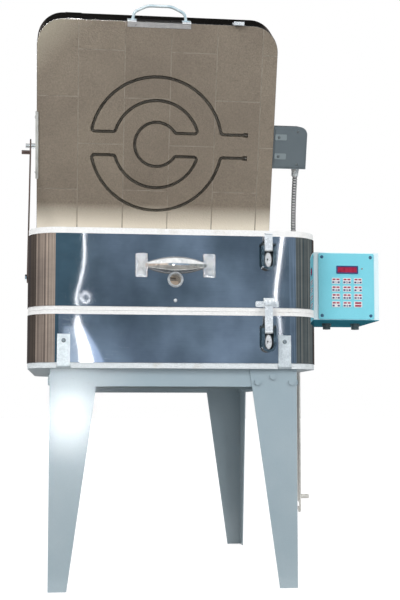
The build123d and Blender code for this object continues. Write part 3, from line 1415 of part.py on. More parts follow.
def make_control_box():
    """Sheet box on spacers, with its glands, panel and what is inside."""
    tail_hole_x = CONTROL_LEFT_X - 1
    with BuildPart() as control_box:
        with BuildSketch(front_plane(CONTROL_FRONT_Y)):
            with Locations((CONTROL_MID_X, CONTROL_MID_Z)):
                Rectangle(CONTROL_WIDTH, CONTROL_HEIGHT)
        extrude(amount=-CONTROL_DEPTH)
        with BuildSketch(front_plane(CONTROL_FRONT_Y + BOX_SHEET)):
            with Locations((CONTROL_MID_X, CONTROL_MID_Z)):
                Rectangle(CONTROL_WIDTH - 2 * BOX_SHEET, CONTROL_HEIGHT - 2 * BOX_SHEET)
        extrude(amount=-(CONTROL_DEPTH - 2 * BOX_SHEET), mode=Mode.SUBTRACT)
        with BuildSketch(front_plane(CONTROL_FRONT_Y - 1)):
            with Locations((CONTROL_MID_X, CONTROL_MID_Z)):
                Rectangle(PANEL_WIDTH - 2 * PANEL_LAP, PANEL_HEIGHT - 2 * PANEL_LAP)
        extrude(amount=-(BOX_SHEET + 2), mode=Mode.SUBTRACT)
        for y in (CONTROL_FRONT_Y + BOX_POST_INSET_Y, CONTROL_BACK_Y - BOX_POST_INSET_Y):
            for z in (CONTROL_Z + BOX_POST_LOW, CONTROL_Z + CONTROL_HEIGHT - BOX_POST_HIGH):
                rod((SIDE_X, y, z), (1, 0, 0), BOX_POST_RADIUS, CONTROL_STAND_OFF)
        for seat in panel_screw_seats():
            screw_hole(seat, (0, 1, 0), SCREW_SHANK, PANEL_GAUGE + BOX_SHEET + 1)
        drill_tails(tail_hole_x, BOX_SHEET + 2)
        rod((tail_hole_x, THERMOCOUPLE_Y, RING_MID_Z), (1, 0, 0), TAIL_HOLE, BOX_SHEET + 2,
            Mode.SUBTRACT)
        rod((CONTROL_GLAND_X, CONTROL_BACK_Y + 1, CONTROL_GLAND_Z), (0, -1, 0), GLAND_HOLE,
            BOX_SHEET + 2, Mode.SUBTRACT)
        for x, y in under_glands():
            rod((x, y, CONTROL_Z - 1), (0, 0, 1), GLAND_HOLE - 1, BOX_SHEET + 2, Mode.SUBTRACT)
        with BuildSketch(side_plane(CONTROL_LEFT_X + CONTROL_WIDTH + 1)):
            with Locations((CONTROL_FRONT_Y + CONTROL_DEPTH / 2, CONTROL_MID_Z + VENT_RISE)):
                with GridLocations(*VENT_PITCH, 2, VENT_ROWS):
                    SlotOverall(*VENT_SLOT)
        extrude(amount=-(BOX_SHEET + 2), mode=Mode.SUBTRACT)
    keep("control_box", control_box)

    with BuildPart() as control_panel:
        with BuildSketch(front_plane(CONTROL_FRONT_Y)):
            with Locations((CONTROL_MID_X, CONTROL_MID_Z)):
                RectangleRounded(PANEL_WIDTH, PANEL_HEIGHT, PANEL_CORNER)
        extrude(amount=PANEL_GAUGE)
        for seat in panel_screw_seats():
            screw_hole(seat, (0, 1, 0), SCREW_SHANK, PANEL_GAUGE)
    keep("control_panel", control_panel)

    display_z = CONTROL_MID_Z + DISPLAY_RISE
    with BuildPart() as display_bezel:
        with BuildSketch(front_plane(PANEL_FACE_Y)):
            with Locations((CONTROL_MID_X + DISPLAY_SHIFT, display_z)):
                RectangleRounded(DISPLAY_WIDTH, DISPLAY_HEIGHT, DISPLAY_CORNER)
                Rectangle(
                    DISPLAY_WIDTH - 2 * DISPLAY_FRAME,
                    DISPLAY_HEIGHT - 2 * DISPLAY_FRAME,
                    mode=Mode.SUBTRACT,
                )
        extrude(amount=BEZEL_RISE)
    keep("display_bezel", display_bezel)

    with BuildPart() as display_window:
        with BuildSketch(front_plane(PANEL_FACE_Y)):
            with Locations((CONTROL_MID_X + DISPLAY_SHIFT, display_z)):
                Rectangle(
                    DISPLAY_WIDTH - 2 * DISPLAY_FRAME,
                    DISPLAY_HEIGHT - 2 * DISPLAY_FRAME,
                )
        extrude(amount=WINDOW_RISE)
    keep("display_window", display_window)

    with BuildPart() as keypad_keys:
        with BuildSketch(front_plane(PANEL_FACE_Y)):
            with Locations((CONTROL_MID_X + KEYPAD_SHIFT, CONTROL_MID_Z - KEYPAD_DROP)):
                with GridLocations(KEY_PITCH_X, KEY_PITCH_Z, 3, 4):
                    RectangleRounded(KEY_WIDTH, KEY_HEIGHT, KEY_CORNER)
        extrude(amount=KEY_RISE)
    keep("keypad_keys", keypad_keys)

    with BuildPart() as panel_screws:
        for seat in panel_screw_seats():
            dome_head(seat, (0, -1, 0), 3.6, 2, SCREW_SHANK, PANEL_GAUGE + BOX_SHEET)
    keep("panel_screws", panel_screws)

    with BuildPart() as status_lamp:
        lamp = (CONTROL_MID_X + LAMP_PLACE[0], PANEL_FACE_Y, display_z + LAMP_PLACE[1])
        rod(lamp, (0, -1, 0), LAMP_RADIUS, LAMP_RISE)
    keep("status_lamp", status_lamp)
    make_box_insides()


def panel_screw_seats():
    """Seats of the four screws that hold the control panel."""
    inset_x, inset_z = PANEL_SCREW_INSET
    for side in (-1, 1):
        for end in (-1, 1):
            x = CONTROL_MID_X + side * (PANEL_WIDTH / 2 - inset_x)
            yield (x, PANEL_FACE_Y, CONTROL_MID_Z + end * (PANEL_HEIGHT / 2 - inset_z))


def under_glands():
    """Centres of the two fittings under the control box."""
    for off in UNDER_GLAND_X:
        yield CONTROL_MID_X + off, CONTROL_FRONT_Y + UNDER_GLAND_Y


def make_box_insides():
    """Circuit board, transformer and relays inside the control box."""
    board_y = CONTROL_FRONT_Y + BOARD_SET_BACK
    board_width, board_height, board_gauge = BOARD_SIZE
    with BuildPart() as circuit_board:
        with BuildSketch(front_plane(board_y)):
            with Locations((CONTROL_MID_X, CONTROL_MID_Z)):
                Rectangle(board_width, board_height)
        extrude(amount=-board_gauge)
        for side in (-1, 1):
            for end in (-1, 1):
                x = CONTROL_MID_X + side * BOARD_POST[0]
                z = CONTROL_MID_Z + end * BOARD_POST[1]
                rod((x, CONTROL_FRONT_Y, z), (0, 1, 0), BOARD_POST_RADIUS, BOARD_SET_BACK + 0.5)
        with BuildSketch(front_plane(board_y + board_gauge)):
            for x, z, width, height in BOARD_PARTS:
                with Locations((CONTROL_MID_X + x, CONTROL_MID_Z + z)):
                    Rectangle(width, height)
        extrude(amount=-BOARD_PART_RISE)
    keep("circuit_board", circuit_board)

    floor_z = CONTROL_Z + BOX_SHEET
    with BuildPart() as transformer:
        place = (CONTROL_MID_X + TRANSFORMER_PLACE[0], CONTROL_BACK_Y - TRANSFORMER_PLACE[1])
        for width, depth, height in (TRANSFORMER_CORE, TRANSFORMER_COIL):
            with BuildSketch(Plane.XY.offset(floor_z)):
                with Locations(place):
                    Rectangle(width, depth)
            extrude(amount=height)
    keep("transformer", transformer)

    base_width, base_depth, base_height = RELAY_BASE
    case_width, case_depth, case_height = RELAY_CASE
    with BuildPart() as relays:
        for back in RELAY_BACKS:
            place = (CONTROL_MID_X - RELAY_X, CONTROL_BACK_Y - back)
            with BuildSketch(Plane.XY.offset(floor_z)):
                with Locations(place):
                    Rectangle(base_width, base_depth)
            extrude(amount=base_height)
            with BuildSketch(Plane.XY.offset(floor_z + base_height)):
                with Locations(place):
                    RectangleRounded(case_width, case_depth, KEY_CORNER)
            extrude(amount=case_height)
    keep("relays", relays)

    with BuildPart() as box_glands:
        for x, y in under_glands():
            under = Plane(origin=(x, y, CONTROL_Z), z_dir=(0, 0, -1))
            collar(under, GLAND_RADIUS, UNDER_BORE, UNDER_HEX, 6)
            collar(under.offset(UNDER_HEX), GLAND_RADIUS - 2, UNDER_BORE, UNDER_NOSE)
            collar(under.offset(-BOX_SHEET), GLAND_HOLE - 1, UNDER_BORE, BOX_SHEET)
            collar(under.offset(-BOX_SHEET - UNDER_NUT), GLAND_RADIUS - 1, UNDER_BORE, UNDER_NUT, 6)
    keep("box_glands", box_glands)


def make_terminal_box():
    """Box on the lid's right side, its cover with two tabs, and the element terminals."""
    left = SIDE_X
    right = SIDE_X + TERMINAL_BOX_WIDTH
    middle_x = (left + right) / 2
    middle_s = (TERMINAL_BOX_LOW + TERMINAL_BOX_HIGH) / 2
    tab_width, tab_height, tab_rise = COVER_TAB
    with BuildPart() as terminal_box:
        with BuildSketch(lid_plane(TERMINAL_BOX_FAR)):
            terminal_outline(0)
        extrude(amount=TERMINAL_BOX_FAR - TERMINAL_BOX_NEAR)
        with BuildSketch(lid_plane(TERMINAL_BOX_FAR - BOX_SHEET)):
            terminal_outline(BOX_SHEET)
        extrude(amount=TERMINAL_BOX_FAR, mode=Mode.SUBTRACT)
        for start, line in element_tail_ends():
            rod(start, line, TAIL_BORE, line.length, Mode.SUBTRACT)
        rod(lid_point(TERMINAL_GLAND_X, TERMINAL_BOX_LOW - 1, TERMINAL_GLAND_DEPTH), ALONG,
            GLAND_HOLE, BOX_SHEET + 2, Mode.SUBTRACT)
    keep("terminal_box", terminal_box)

    with BuildPart() as terminal_cover:
        with BuildSketch(lid_plane(TERMINAL_BOX_NEAR)):
            terminal_outline(0)
        extrude(amount=COVER_GAUGE)
        with BuildSketch(lid_plane(TERMINAL_BOX_NEAR - COVER_GAUGE)):
            terminal_outline(COVER_RIM)
        extrude(amount=COVER_RAISE)
        with BuildSketch(lid_plane(TERMINAL_BOX_NEAR - COVER_GAUGE)):
            for off in COVER_TAB_S:
                with Locations((left + COVER_TAB_X, middle_s + off)):
                    RectangleRounded(tab_width, tab_height, PANEL_CORNER)
        extrude(amount=tab_rise)
        for seat in cover_screw_seats():
            screw_hole(seat, -OUT_OF_FACE, SCREW_SHANK, 5)
    keep("terminal_cover", terminal_cover)

    with BuildPart() as cover_screws:
        for seat in cover_screw_seats():
            dome_head(seat, OUT_OF_FACE, 3.8, 2, SCREW_SHANK, 2.4)
    keep("cover_screws", cover_screws)

    with BuildPart() as terminal_bushings:
        for start, line in element_tail_ends():
            unit = line.normalized()
            point = start + unit * ((left - ELEMENT_END_X) / unit.X + BOX_SHEET)
            with BuildSketch(Plane(origin=point, z_dir=unit)):
                Circle(BUSHING_RADIUS)
                Circle(ELEMENT_RADIUS - ELEMENT_SQUEEZE, mode=Mode.SUBTRACT)
            extrude(amount=BUSHING_LENGTH)
    keep("terminal_bushings", terminal_bushings)

    with BuildPart() as element_clamps:
        for start, line in element_tail_ends():
            unit = line.normalized()
            tip = start + line
            rod(tip - unit * CLAMP_LAP, unit, CLAMP_RADIUS, CLAMP_LENGTH)
            rod(tip - unit * (CLAMP_LAP + 1), unit, ELEMENT_RADIUS - ELEMENT_SQUEEZE, CLAMP_LAP + 1,
                Mode.SUBTRACT)
    keep("element_clamps", element_clamps)


def cover_screw_seats():
    """Seats of the screws in the terminal box cover, two on the tabs and two beside them."""
    middle_s = (TERMINAL_BOX_LOW + TERMINAL_BOX_HIGH) / 2
    tab_face = TERMINAL_BOX_NEAR - COVER_GAUGE - COVER_TAB[2]
    plain_face = TERMINAL_BOX_NEAR - COVER_GAUGE - COVER_RAISE
    for off in COVER_TAB_S:
        yield lid_point(SIDE_X + TAB_SCREW_X, middle_s + off, tab_face)
    for s in (TERMINAL_BOX_LOW + COVER_SCREW_END, TERMINAL_BOX_HIGH - COVER_SCREW_END):
        yield lid_point(SIDE_X + TERMINAL_BOX_WIDTH - COVER_SCREW_IN, s, plain_face)


def terminal_outline(shrink):
    """Terminal box outline in the sketch being built, rounded at its outer front corner."""
    left = SIDE_X + shrink
    right = SIDE_X + TERMINAL_BOX_WIDTH - shrink
    low = TERMINAL_BOX_LOW + shrink
    high = TERMINAL_BOX_HIGH - shrink
    corner = TERMINAL_CORNER - shrink
    with BuildLine() as outline:
        Polyline(
            (right, high - corner),
            (right, low),
            (left, low),
            (left, high),
            (right - corner, high),
        )
        RadiusArc((right - corner, high), (right, high - corner), corner)
    make_face(outline.edges())


def conduit_points():
    """Route of the conduit: gland on the lid box, down behind the ring, gland on the box."""
    start = lid_point(TERMINAL_GLAND_X, TERMINAL_BOX_LOW - GLAND_LENGTH, TERMINAL_GLAND_DEPTH)
    end = Vector(CONTROL_GLAND_X, CONTROL_BACK_Y + GLAND_LENGTH, CONTROL_GLAND_Z)
    return [
        start,
        start - ALONG * 62,
        Vector(TERMINAL_GLAND_X + 1, BACK_Y + 6.5, CONTROL_GLAND_Z + 164),
        Vector(CONTROL_GLAND_X, BACK_Y - 20.5, CONTROL_GLAND_Z + 88),
        Vector(CONTROL_GLAND_X - 1, BACK_Y - 82.5, CONTROL_GLAND_Z + 33),
        Vector(CONTROL_GLAND_X, CONTROL_BACK_Y + 145.5, CONTROL_GLAND_Z + 6),
        Vector(CONTROL_GLAND_X, CONTROL_BACK_Y + 79.5, CONTROL_GLAND_Z),
        end,
    ]


def corner_radii(points):
    """Radius of each bend: 0.45 of the shorter run over the tangent of half the turn."""
    radii = []
    for a, b, c in zip(points, points[1:], points[2:]):
        turn = acos(max(-1, min(1, (b - a).normalized().dot((c - b).normalized()))))
        shorter = min((b - a).length, (c - b).length)
        radii.append(0.45 * shorter / tan(turn / 2))
    return radii


def make_conduit():
    """Ribbed flexible conduit with its bore, and the glands at both ends."""
    points = conduit_points()
    radii = corner_radii(points)
    with BuildLine() as route:
        FilletPolyline(*points, radius=radii)
    path = route.wires()[0]
    length = path.length
    ribs = int((length - 4 * CONDUIT_RADIUS) / CONDUIT_PITCH)
    lead = (length - ribs * CONDUIT_PITCH) / 2
    valley = CONDUIT_RADIUS - CONDUIT_RIB
    stations = [(0, valley), (lead, valley)]
    for rib in range(ribs):
        base = lead + rib * CONDUIT_PITCH
        for share, radius in ((0.2, CONDUIT_RADIUS), (0.5, CONDUIT_RADIUS), (0.7, valley),
                              (1.0, valley)):
            stations.append((base + share * CONDUIT_PITCH, radius))
    stations.append((length, valley))
    with BuildPart() as conduit:
        for distance, radius in stations:
            with BuildSketch(path_plane(path, distance / length)):
                Circle(radius)
        loft(ruled=True)
        with BuildSketch(path_plane(path, 0)):
            Circle(CONDUIT_BORE)
        sweep(path=path, mode=Mode.SUBTRACT)
    keep("conduit", conduit)
    print("conduit length", round(length, 1), "ribs", ribs)
    print("conduit bend radii", [round(r, 1) for r in radii])
    print("conduit least gap to itself", round(least_gap(path), 1))

    with BuildPart() as lid_gland:
        make_gland(lid_point(TERMINAL_GLAND_X, TERMINAL_BOX_LOW, TERMINAL_GLAND_DEPTH), -ALONG)
    keep("lid_gland", lid_gland)
    with BuildPart() as box_gland:
        make_gland((CONTROL_GLAND_X, CONTROL_BACK_Y, CONTROL_GLAND_Z), (0, 1, 0))
    keep("conduit_gland", box_gland)


def path_plane(path, share):
    """Cross-section plane of a path with a steady X axis."""
    tangent = path % share
    steady = Vector(1, 0, 0) - tangent * tangent.X
    return Plane(origin=path @ share, x_dir=steady, z_dir=tangent)


def least_gap(path):
    """Smallest distance between surfaces of stretches more than four diameters apart."""
    count = 60
    marks = [path @ (i / count) for i in range(count + 1)]
    skip = int(8 * CONDUIT_RADIUS / (path.length / count)) + 1
    gaps = [
        (a - b).length - 2 * CONDUIT_RADIUS
        for i, a in enumerate(marks)
        for b in marks[i + skip:]
    ]
    return min(gaps)


def make_gland(seat, outward):
    """Conduit connector: locknut inside the box, hexagon and sleeve outside."""
    plane = Plane(origin=seat, z_dir=outward)
    sleeve = GLAND_RADIUS - GLAND_SLEEVE_STEP
    collar(plane, GLAND_RADIUS, CONDUIT_BORE, GLAND_HEX, 6)
    collar(plane.offset(GLAND_HEX), sleeve, CONDUIT_BORE, GLAND_LENGTH - GLAND_HEX)
    collar(plane.offset(-BOX_SHEET), GLAND_HOLE, CONDUIT_BORE, BOX_SHEET)
    collar(plane.offset(-BOX_SHEET - GLAND_NUT), GLAND_RADIUS + 1, CONDUIT_BORE, GLAND_NUT, 8)


def main():
    """Build every piece and write one STEP file for each."""
    make_stand()
    make_base()
    make_ring()
    make_peephole()
    make_front_handle()
    make_hinges()
    make_lid()
    make_lid_fittings()
    make_props()
    make_latch("upper", UPPER_LATCH_Z, UPPER_STRAP_REACH)
    make_latch("lower", LOWER_LATCH_Z, LOWER_STRAP_REACH)
    make_ring_catch()
    make_control_box()
    make_terminal_box()
    make_conduit()
    os.makedirs("parts", exist_ok=True)
    for name, shape in PARTS.items():
        shape.label = name
        export_step(shape, os.path.join("parts", name + ".step"))
    print("pieces", len(PARTS))


main()
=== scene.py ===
"""Clamshell glass kiln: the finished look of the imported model, with its conduit, coils and lights."""

import logging
import math
from dataclasses import dataclass
from enum import Enum
from functools import cached_property
from typing import Sequence

import bmesh
import bpy
from mathutils import Matrix, Vector


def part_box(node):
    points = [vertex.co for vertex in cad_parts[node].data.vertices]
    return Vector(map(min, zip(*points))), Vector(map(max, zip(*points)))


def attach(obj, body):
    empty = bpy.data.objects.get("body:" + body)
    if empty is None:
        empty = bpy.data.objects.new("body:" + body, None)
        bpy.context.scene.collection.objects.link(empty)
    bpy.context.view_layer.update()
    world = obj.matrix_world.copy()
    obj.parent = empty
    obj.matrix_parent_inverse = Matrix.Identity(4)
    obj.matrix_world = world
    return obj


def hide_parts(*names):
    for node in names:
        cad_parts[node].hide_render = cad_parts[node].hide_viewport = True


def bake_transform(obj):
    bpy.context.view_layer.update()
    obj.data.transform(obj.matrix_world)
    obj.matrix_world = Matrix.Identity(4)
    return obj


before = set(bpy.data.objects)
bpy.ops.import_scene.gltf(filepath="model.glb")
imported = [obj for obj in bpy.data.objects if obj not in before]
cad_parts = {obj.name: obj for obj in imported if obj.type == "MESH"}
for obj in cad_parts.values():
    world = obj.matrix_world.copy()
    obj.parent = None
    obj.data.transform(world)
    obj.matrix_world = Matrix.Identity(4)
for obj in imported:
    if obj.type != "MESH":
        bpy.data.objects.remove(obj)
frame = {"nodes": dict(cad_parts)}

log = logging.getLogger("glass_kiln")

Colour = tuple[float, float, float]
Point = tuple[float, float, float]
Pair = tuple[float, float]
Socket = bpy.types.NodeSocket
Material = bpy.types.Material
Piece = bpy.types.Object

GROUND_Z = -0.5059
LID_HINGE = Vector((0.0, 0.313, 0.2207))
LID_OPEN = math.radians(72.8)
FRONT_Y = -0.2965
MIRROR_Y = -4.6


class Mode(Enum):
    """Way in which one colour is laid over another."""

    MIX = "MIX"
    OVERLAY = "OVERLAY"
    MULTIPLY = "MULTIPLY"


class Line(Enum):
    """How a curve runs between its points."""

    STRAIGHT = "POLY"
    SMOOTH = "NURBS"


def lid_along() -> Vector:
    """Direction from the lid's hinge to its front edge."""
    return Vector((0.0, -math.cos(LID_OPEN), math.sin(LID_OPEN)))


def lid_outward() -> Vector:
    """Direction out of the lid's brick face."""
    return Vector((0.0, -math.sin(LID_OPEN), -math.cos(LID_OPEN)))


def lid_point(x: float, s: float, depth: float) -> Vector:
    """Point on the open lid: x to the right, s from the hinge, and a depth into the brick."""
    return LID_HINGE + Vector((x, 0.0, 0.0)) + lid_along() * s - lid_outward() * depth


class Graph:
    """Adds nodes to a tree."""

    def __init__(self, tree: bpy.types.NodeTree) -> None:
        """Take up a tree."""
        self.tree = tree

    def feed(self, source: object, target: Socket) -> None:
        """Link a socket, or set a plain value.

        Args:
            source: a socket, a number, a vector or a colour without its alpha.
            target: the input that takes it.
        """
        if isinstance(source, Socket):
            self.tree.links.new(source, target)
        else:
            target.default_value = (*source, 1.0) if target.type == "RGBA" else source

    def node(self, kind: str, inputs: dict | None = None, **settings: object) -> bpy.types.Node:
        """New node.

        Args:
            kind: Blender's name for it.
            inputs: sockets or values for its inputs, by name or by place.
            settings: its own settings.

        Returns:
            The node.
        """
        node = self.tree.nodes.new(kind)
        for key, value in settings.items():
            setattr(node, key, value)
        for key, value in (inputs or {}).items():
            self.feed(value, node.inputs[key])
        return node

    def math(self, operation: str, first: object, second: object = 0.0) -> Socket:
        """One step of arithmetic on sockets or numbers."""
        return self.node("ShaderNodeMath", {0: first, 1: second}, operation=operation).outputs[0]


class Bench(Graph):
    """Lays out the nodes of one material."""

    def __init__(self, name: str) -> None:
        """Start a material with a principled shader.

        Args:
            name: the material's name.
        """
        self.material = bpy.data.materials.new(name)
        self.material.use_nodes = True
        super().__init__(self.material.node_tree)
        self.tree.nodes.clear()
        self.shader = self.node("ShaderNodeBsdfPrincipled")
        self.output = self.node("ShaderNodeOutputMaterial", {"Surface": self.shader.outputs["BSDF"]})

    def plain(self, **values: float) -> None:
        """Set the shader's own sockets, with underscores for spaces."""
        for name, value in values.items():
            self.shader.inputs[name.replace("_", " ").title().replace("Ior", "IOR")].default_value = value

    def place(self, scale: Point = (1.0, 1.0, 1.0), rotation: Point = (0.0, 0.0, 0.0),
              location: Point = (0.0, 0.0, 0.0)) -> Socket:
        """Object coordinates after a scale, a turn in radians and a shift."""
        spot = self.node("ShaderNodeTexCoord").outputs["Object"]
        return self.node("ShaderNodeMapping", {"Vector": spot, "Scale": scale, "Rotation": rotation,
                                               "Location": location}).outputs["Vector"]

    @cached_property
    def spot(self) -> Socket:
        """Plain object coordinates."""
        return self.place()

    @cached_property
    def face(self) -> Socket:
        """Coordinates on the open lid: across, from the hinge, and out of its face."""
        shift = (0.0, -LID_HINGE.dot(lid_along()), -LID_HINGE.dot(lid_outward()))
        return self.place(rotation=(math.pi + LID_OPEN, 0.0, 0.0), location=shift)

    def noise(self, scale: float, detail: float = 4.0, rough: float = 0.55,
              vector: Socket | None = None) -> Socket:
        """Cloudy noise of some fineness per metre, with finer layers, as a factor from 0 to 1."""
        return self.node("ShaderNodeTexNoise", {"Vector": vector or self.spot, "Scale": scale,
                                                "Detail": detail, "Roughness": rough}).outputs["Fac"]

    def cells(self, scale: float) -> Socket:
        """Distance to the middle of the nearest of many random cells."""
        return self.node("ShaderNodeTexVoronoi", {"Vector": self.spot, "Scale": scale}).outputs["Distance"]

    def ramp(self, factor: Socket, *stops: tuple[float, Colour]) -> Socket:
        """Colour ramp.

        Args:
            factor: where on the ramp.
            stops: place and colour of each of its two stops.

        Returns:
            The colour.
        """
        node = self.node("ShaderNodeValToRGB", {"Fac": factor})
        for element, (place, colour) in zip(node.color_ramp.elements, stops):
            element.position = place
            element.color = (*colour, 1.0)
        return node.outputs["Color"]

    def grade(self, factor: Socket, low: float, high: float, start: float, end: float) -> Socket:
        """Change the range low to high into start to end, with nothing beyond."""
        return self.node("ShaderNodeMapRange", {"Value": factor, "From Min": low, "From Max": high,
                                                "To Min": start, "To Max": end}).outputs["Result"]

    def blend(self, factor: object, first: object, second: object, mode: Mode = Mode.MIX) -> Socket:
        """Lay a share of the second colour over the first."""
        return self.node("ShaderNodeMix", {0: factor, 6: first, 7: second},
                         data_type="RGBA", blend_type=mode.value).outputs[2]

    def part(self, axis: int, vector: Socket | None = None) -> Socket:
        """One coordinate of a vector."""
        return self.node("ShaderNodeSeparateXYZ", {0: vector or self.spot}).outputs[axis]

    def colour(self, source: object) -> None:
        """Give the shader its base colour."""
        self.feed(source, self.shader.inputs["Base Color"])

    def rough(self, factor: Socket, low: float, high: float, start: float, end: float) -> None:
        """Give the shader a roughness that follows a factor, as in grade."""
        self.feed(self.grade(factor, low, high, start, end), self.shader.inputs["Roughness"])

    def shine(self, source: object, strength: float) -> None:
        """Make the material a plain light source of a colour or socket."""
        glow = self.node("ShaderNodeEmission", {"Color": source, "Strength": strength})
        self.feed(glow.outputs[0], self.output.inputs["Surface"])

    def relief(self, *heights: tuple[Socket, float]) -> None:
        """Bumps laid over each other.

        Args:
            heights: each height with its depth in metres.
        """
        normal = self.shader.inputs["Normal"]
        below = {}
        for height, depth in heights:
            sizes = {"Strength": 1.0, "Distance": depth, "Height": height}
            below = {"Normal": self.node("ShaderNodeBump", sizes | below).outputs["Normal"]}
        self.feed(below["Normal"], normal)


@dataclass(frozen=True)
class Finish:
    """Look of one kind of surface."""

    name: str

    def lay_out(self, bench: Bench) -> None:
        """Lay out the nodes."""
        raise NotImplementedError

    def make(self) -> Material:
        """Build the material."""
        bench = Bench(self.name)
        self.lay_out(bench)
        return bench.material


@dataclass(frozen=True)
class LidBrick(Finish):
    """Soot-warmed firebrick of the lid's face, with pale cement lines, painted light near the hinge and
    towards the far left corner, and painted shade in the groove.
    """

    name: str = "lid_firebrick"
    deep: Colour = (0.205, 0.172, 0.138)
    warm: Colour = (0.3, 0.258, 0.204)
    cement: Colour = (0.365, 0.325, 0.27)
    # painted light: pale warm colour laid on the brick near the hinge
    hinge_glow: Colour = (0.86, 0.79, 0.66)
    pale: Colour = (0.42, 0.38, 0.3)
    brick_length: float = 0.2286
    brick_breadth: float = 0.1143
    joint_x: float = 0.0315
    joint_s: float = 0.19675
    line: float = 0.0015
    glow_s: Pair = (0.105, 0.162)
    # painted light: span of the lighter far left corner
    corner_light_span: Pair = (-0.86, -0.76)
    line_depth: Pair = (-0.0018, -0.0012)
    groove_depth: Pair = (-0.0085, -0.002)

    def lay_out(self, bench: Bench) -> None:
        """Lay out the nodes."""
        across, along, out = (bench.part(axis, bench.face) for axis in range(3))
        course = bench.node("ShaderNodeCombineXYZ", {0: bench.math("SUBTRACT", along, self.joint_s),
                                                     1: bench.math("SUBTRACT", across, self.joint_x)})
        bond = bench.node("ShaderNodeTexBrick", {
            "Vector": course.outputs[0], "Scale": 1.0, "Brick Width": self.brick_length,
            "Row Height": self.brick_breadth, "Mortar Size": self.line, "Mortar Smooth": 0.35,
            "Color1": (0.42, 0.42, 0.42), "Color2": (0.58, 0.58, 0.58), "Mortar": (0.5, 0.5, 0.5)})
        fine = bench.noise(240.0, 5.0, 0.65)
        tone = bench.blend(0.55, bond.outputs["Color"], bench.noise(9.0, 3.0), Mode.OVERLAY)
        brick = bench.ramp(tone, (0.25, self.deep), (0.75, self.warm))
        grain = bench.ramp(fine, (0.3, (0.8, 0.79, 0.78)), (0.7, (1.12, 1.12, 1.12)))
        brick = bench.blend(1.0, brick, grain, Mode.MULTIPLY)
        # painted light: the brick turns pale near the hinge, as a glow
        brick = bench.blend(bench.grade(along, *self.glow_s, 1.0, 0.0), brick, self.hinge_glow)
        # painted light: lighter towards the left corner of the lid's front edge
        corner = bench.math("SUBTRACT", across, along)
        brick = bench.blend(bench.grade(corner, *self.corner_light_span, 0.75, 0.0), brick, self.pale)
        broken = bench.grade(bench.noise(30.0, 3.0), 0.36, 0.56, 0.45, 1.25)
        lines = bench.math("MULTIPLY", bond.outputs["Fac"], broken)
        lines = bench.math("MULTIPLY", lines, bench.grade(out, *self.line_depth, 0.0, 1.0))
        brick = bench.blend(lines, brick, self.cement)
        open_air = bench.grade(out, *self.groove_depth, 0.0, 1.0)
        shade = bench.blend(open_air, (0.95, 1.0, 0.98), (1.0, 1.0, 1.0))
        bench.colour(bench.blend(1.0, brick, shade, Mode.MULTIPLY))
        bench.plain(roughness=0.93, specular_ior_level=0.2)
        bench.relief((fine, 0.0006), (bench.cells(330.0), 0.0004))


@dataclass(frozen=True)
class WallBrick(Finish):
    """Pale coated firebrick, tanned where it faces the chamber."""

    name: str = "wall_firebrick"
    coat: Colour = (0.93, 0.93, 0.915)
    worn: Colour = (0.8, 0.77, 0.71)
    inner: Colour = (0.5, 0.42, 0.33)
    burnt: Colour = (0.4, 0.33, 0.26)
    chip: float = 0.0012
    half_width: float = 0.235
    half_depth: float = 0.233

    def lay_out(self, bench: Bench) -> None:
        """Lay out the nodes."""
        x, y = (bench.math("DIVIDE", bench.math("ABSOLUTE", bench.part(axis)), half)
                for axis, half in enumerate((self.half_width, self.half_depth)))
        inside = bench.grade(bench.math("MAXIMUM", x, y), 0.999, 1.012, 1.0, 0.0)
        fine = bench.noise(260.0, 5.0, 0.65)
        patches = bench.noise(22.0, 5.0, 0.6)
        coat = bench.ramp(patches, (0.6, self.coat), (0.8, self.worn))
        tan = bench.ramp(bench.noise(12.0, 4.0), (0.3, self.burnt), (0.7, self.inner))
        grain = bench.ramp(fine, (0.3, (0.92, 0.92, 0.92)), (0.7, (1.04, 1.04, 1.04)))
        base = bench.blend(inside, coat, tan)
        bench.colour(bench.blend(1.0, base, grain, Mode.MULTIPLY))
        bench.plain(roughness=0.94, specular_ior_level=0.2)
        chips = bench.noise(60.0, 4.0, 0.7)
        bench.relief((fine, 0.0006), (bench.cells(300.0), 0.0004), (chips, self.chip))


@dataclass(frozen=True)
class Sheet(Finish):
    """Polished or brushed sheet metal with waves, scratches and streaks."""

    bright: Colour = (0.56, 0.57, 0.59)
    dull: Colour = (0.36, 0.37, 0.4)
    gloss: float = 0.02
    haze: float = 0.018
    wave: float = 0.00016
    scuff: float = 0.08
    streaks: float = 0.12
    draw: Point = (0.35, 0.35, 9.0)

    def lay_out(self, bench: Bench) -> None:
        """Lay out the nodes."""
        drawn = bench.place(scale=self.draw)
        streak = bench.noise(60.0, 6.0, 0.7, drawn)
        hair = bench.noise(420.0, 3.0, 0.6, drawn)
        cloud = bench.math("MULTIPLY", bench.noise(7.0, 4.0, 0.6), 1.0 - self.streaks)
        tone = bench.math("ADD", bench.math("MULTIPLY", streak, self.streaks), cloud)
        bench.colour(bench.ramp(tone, (0.35, self.dull), (0.65, self.bright)))
        bench.plain(metallic=1.0)
        slanted = bench.place(scale=(1.0, 1.0, 34.0), rotation=(0.25, 0.6, 0.1))
        line = bench.noise(22.0, 2.0, 0.5, slanted)
        patch = bench.grade(bench.noise(11.0, 2.0), 0.5, 0.62, 0.0, 1.0)
        scratch = bench.math("MULTIPLY", bench.grade(line, 0.66, 0.7, 0.0, self.scuff), patch)
        base = bench.grade(tone, 0.3, 0.7, self.gloss + self.haze, self.gloss)
        bench.feed(bench.math("ADD", base, scratch), bench.shader.inputs["Roughness"])
        bulge = bench.noise(5.0, 1.0, 0.4, bench.place(scale=(1.0, 1.0, 0.6)))
        bench.relief((bulge, self.wave), (hair, 0.000001), (streak, 0.0000012))


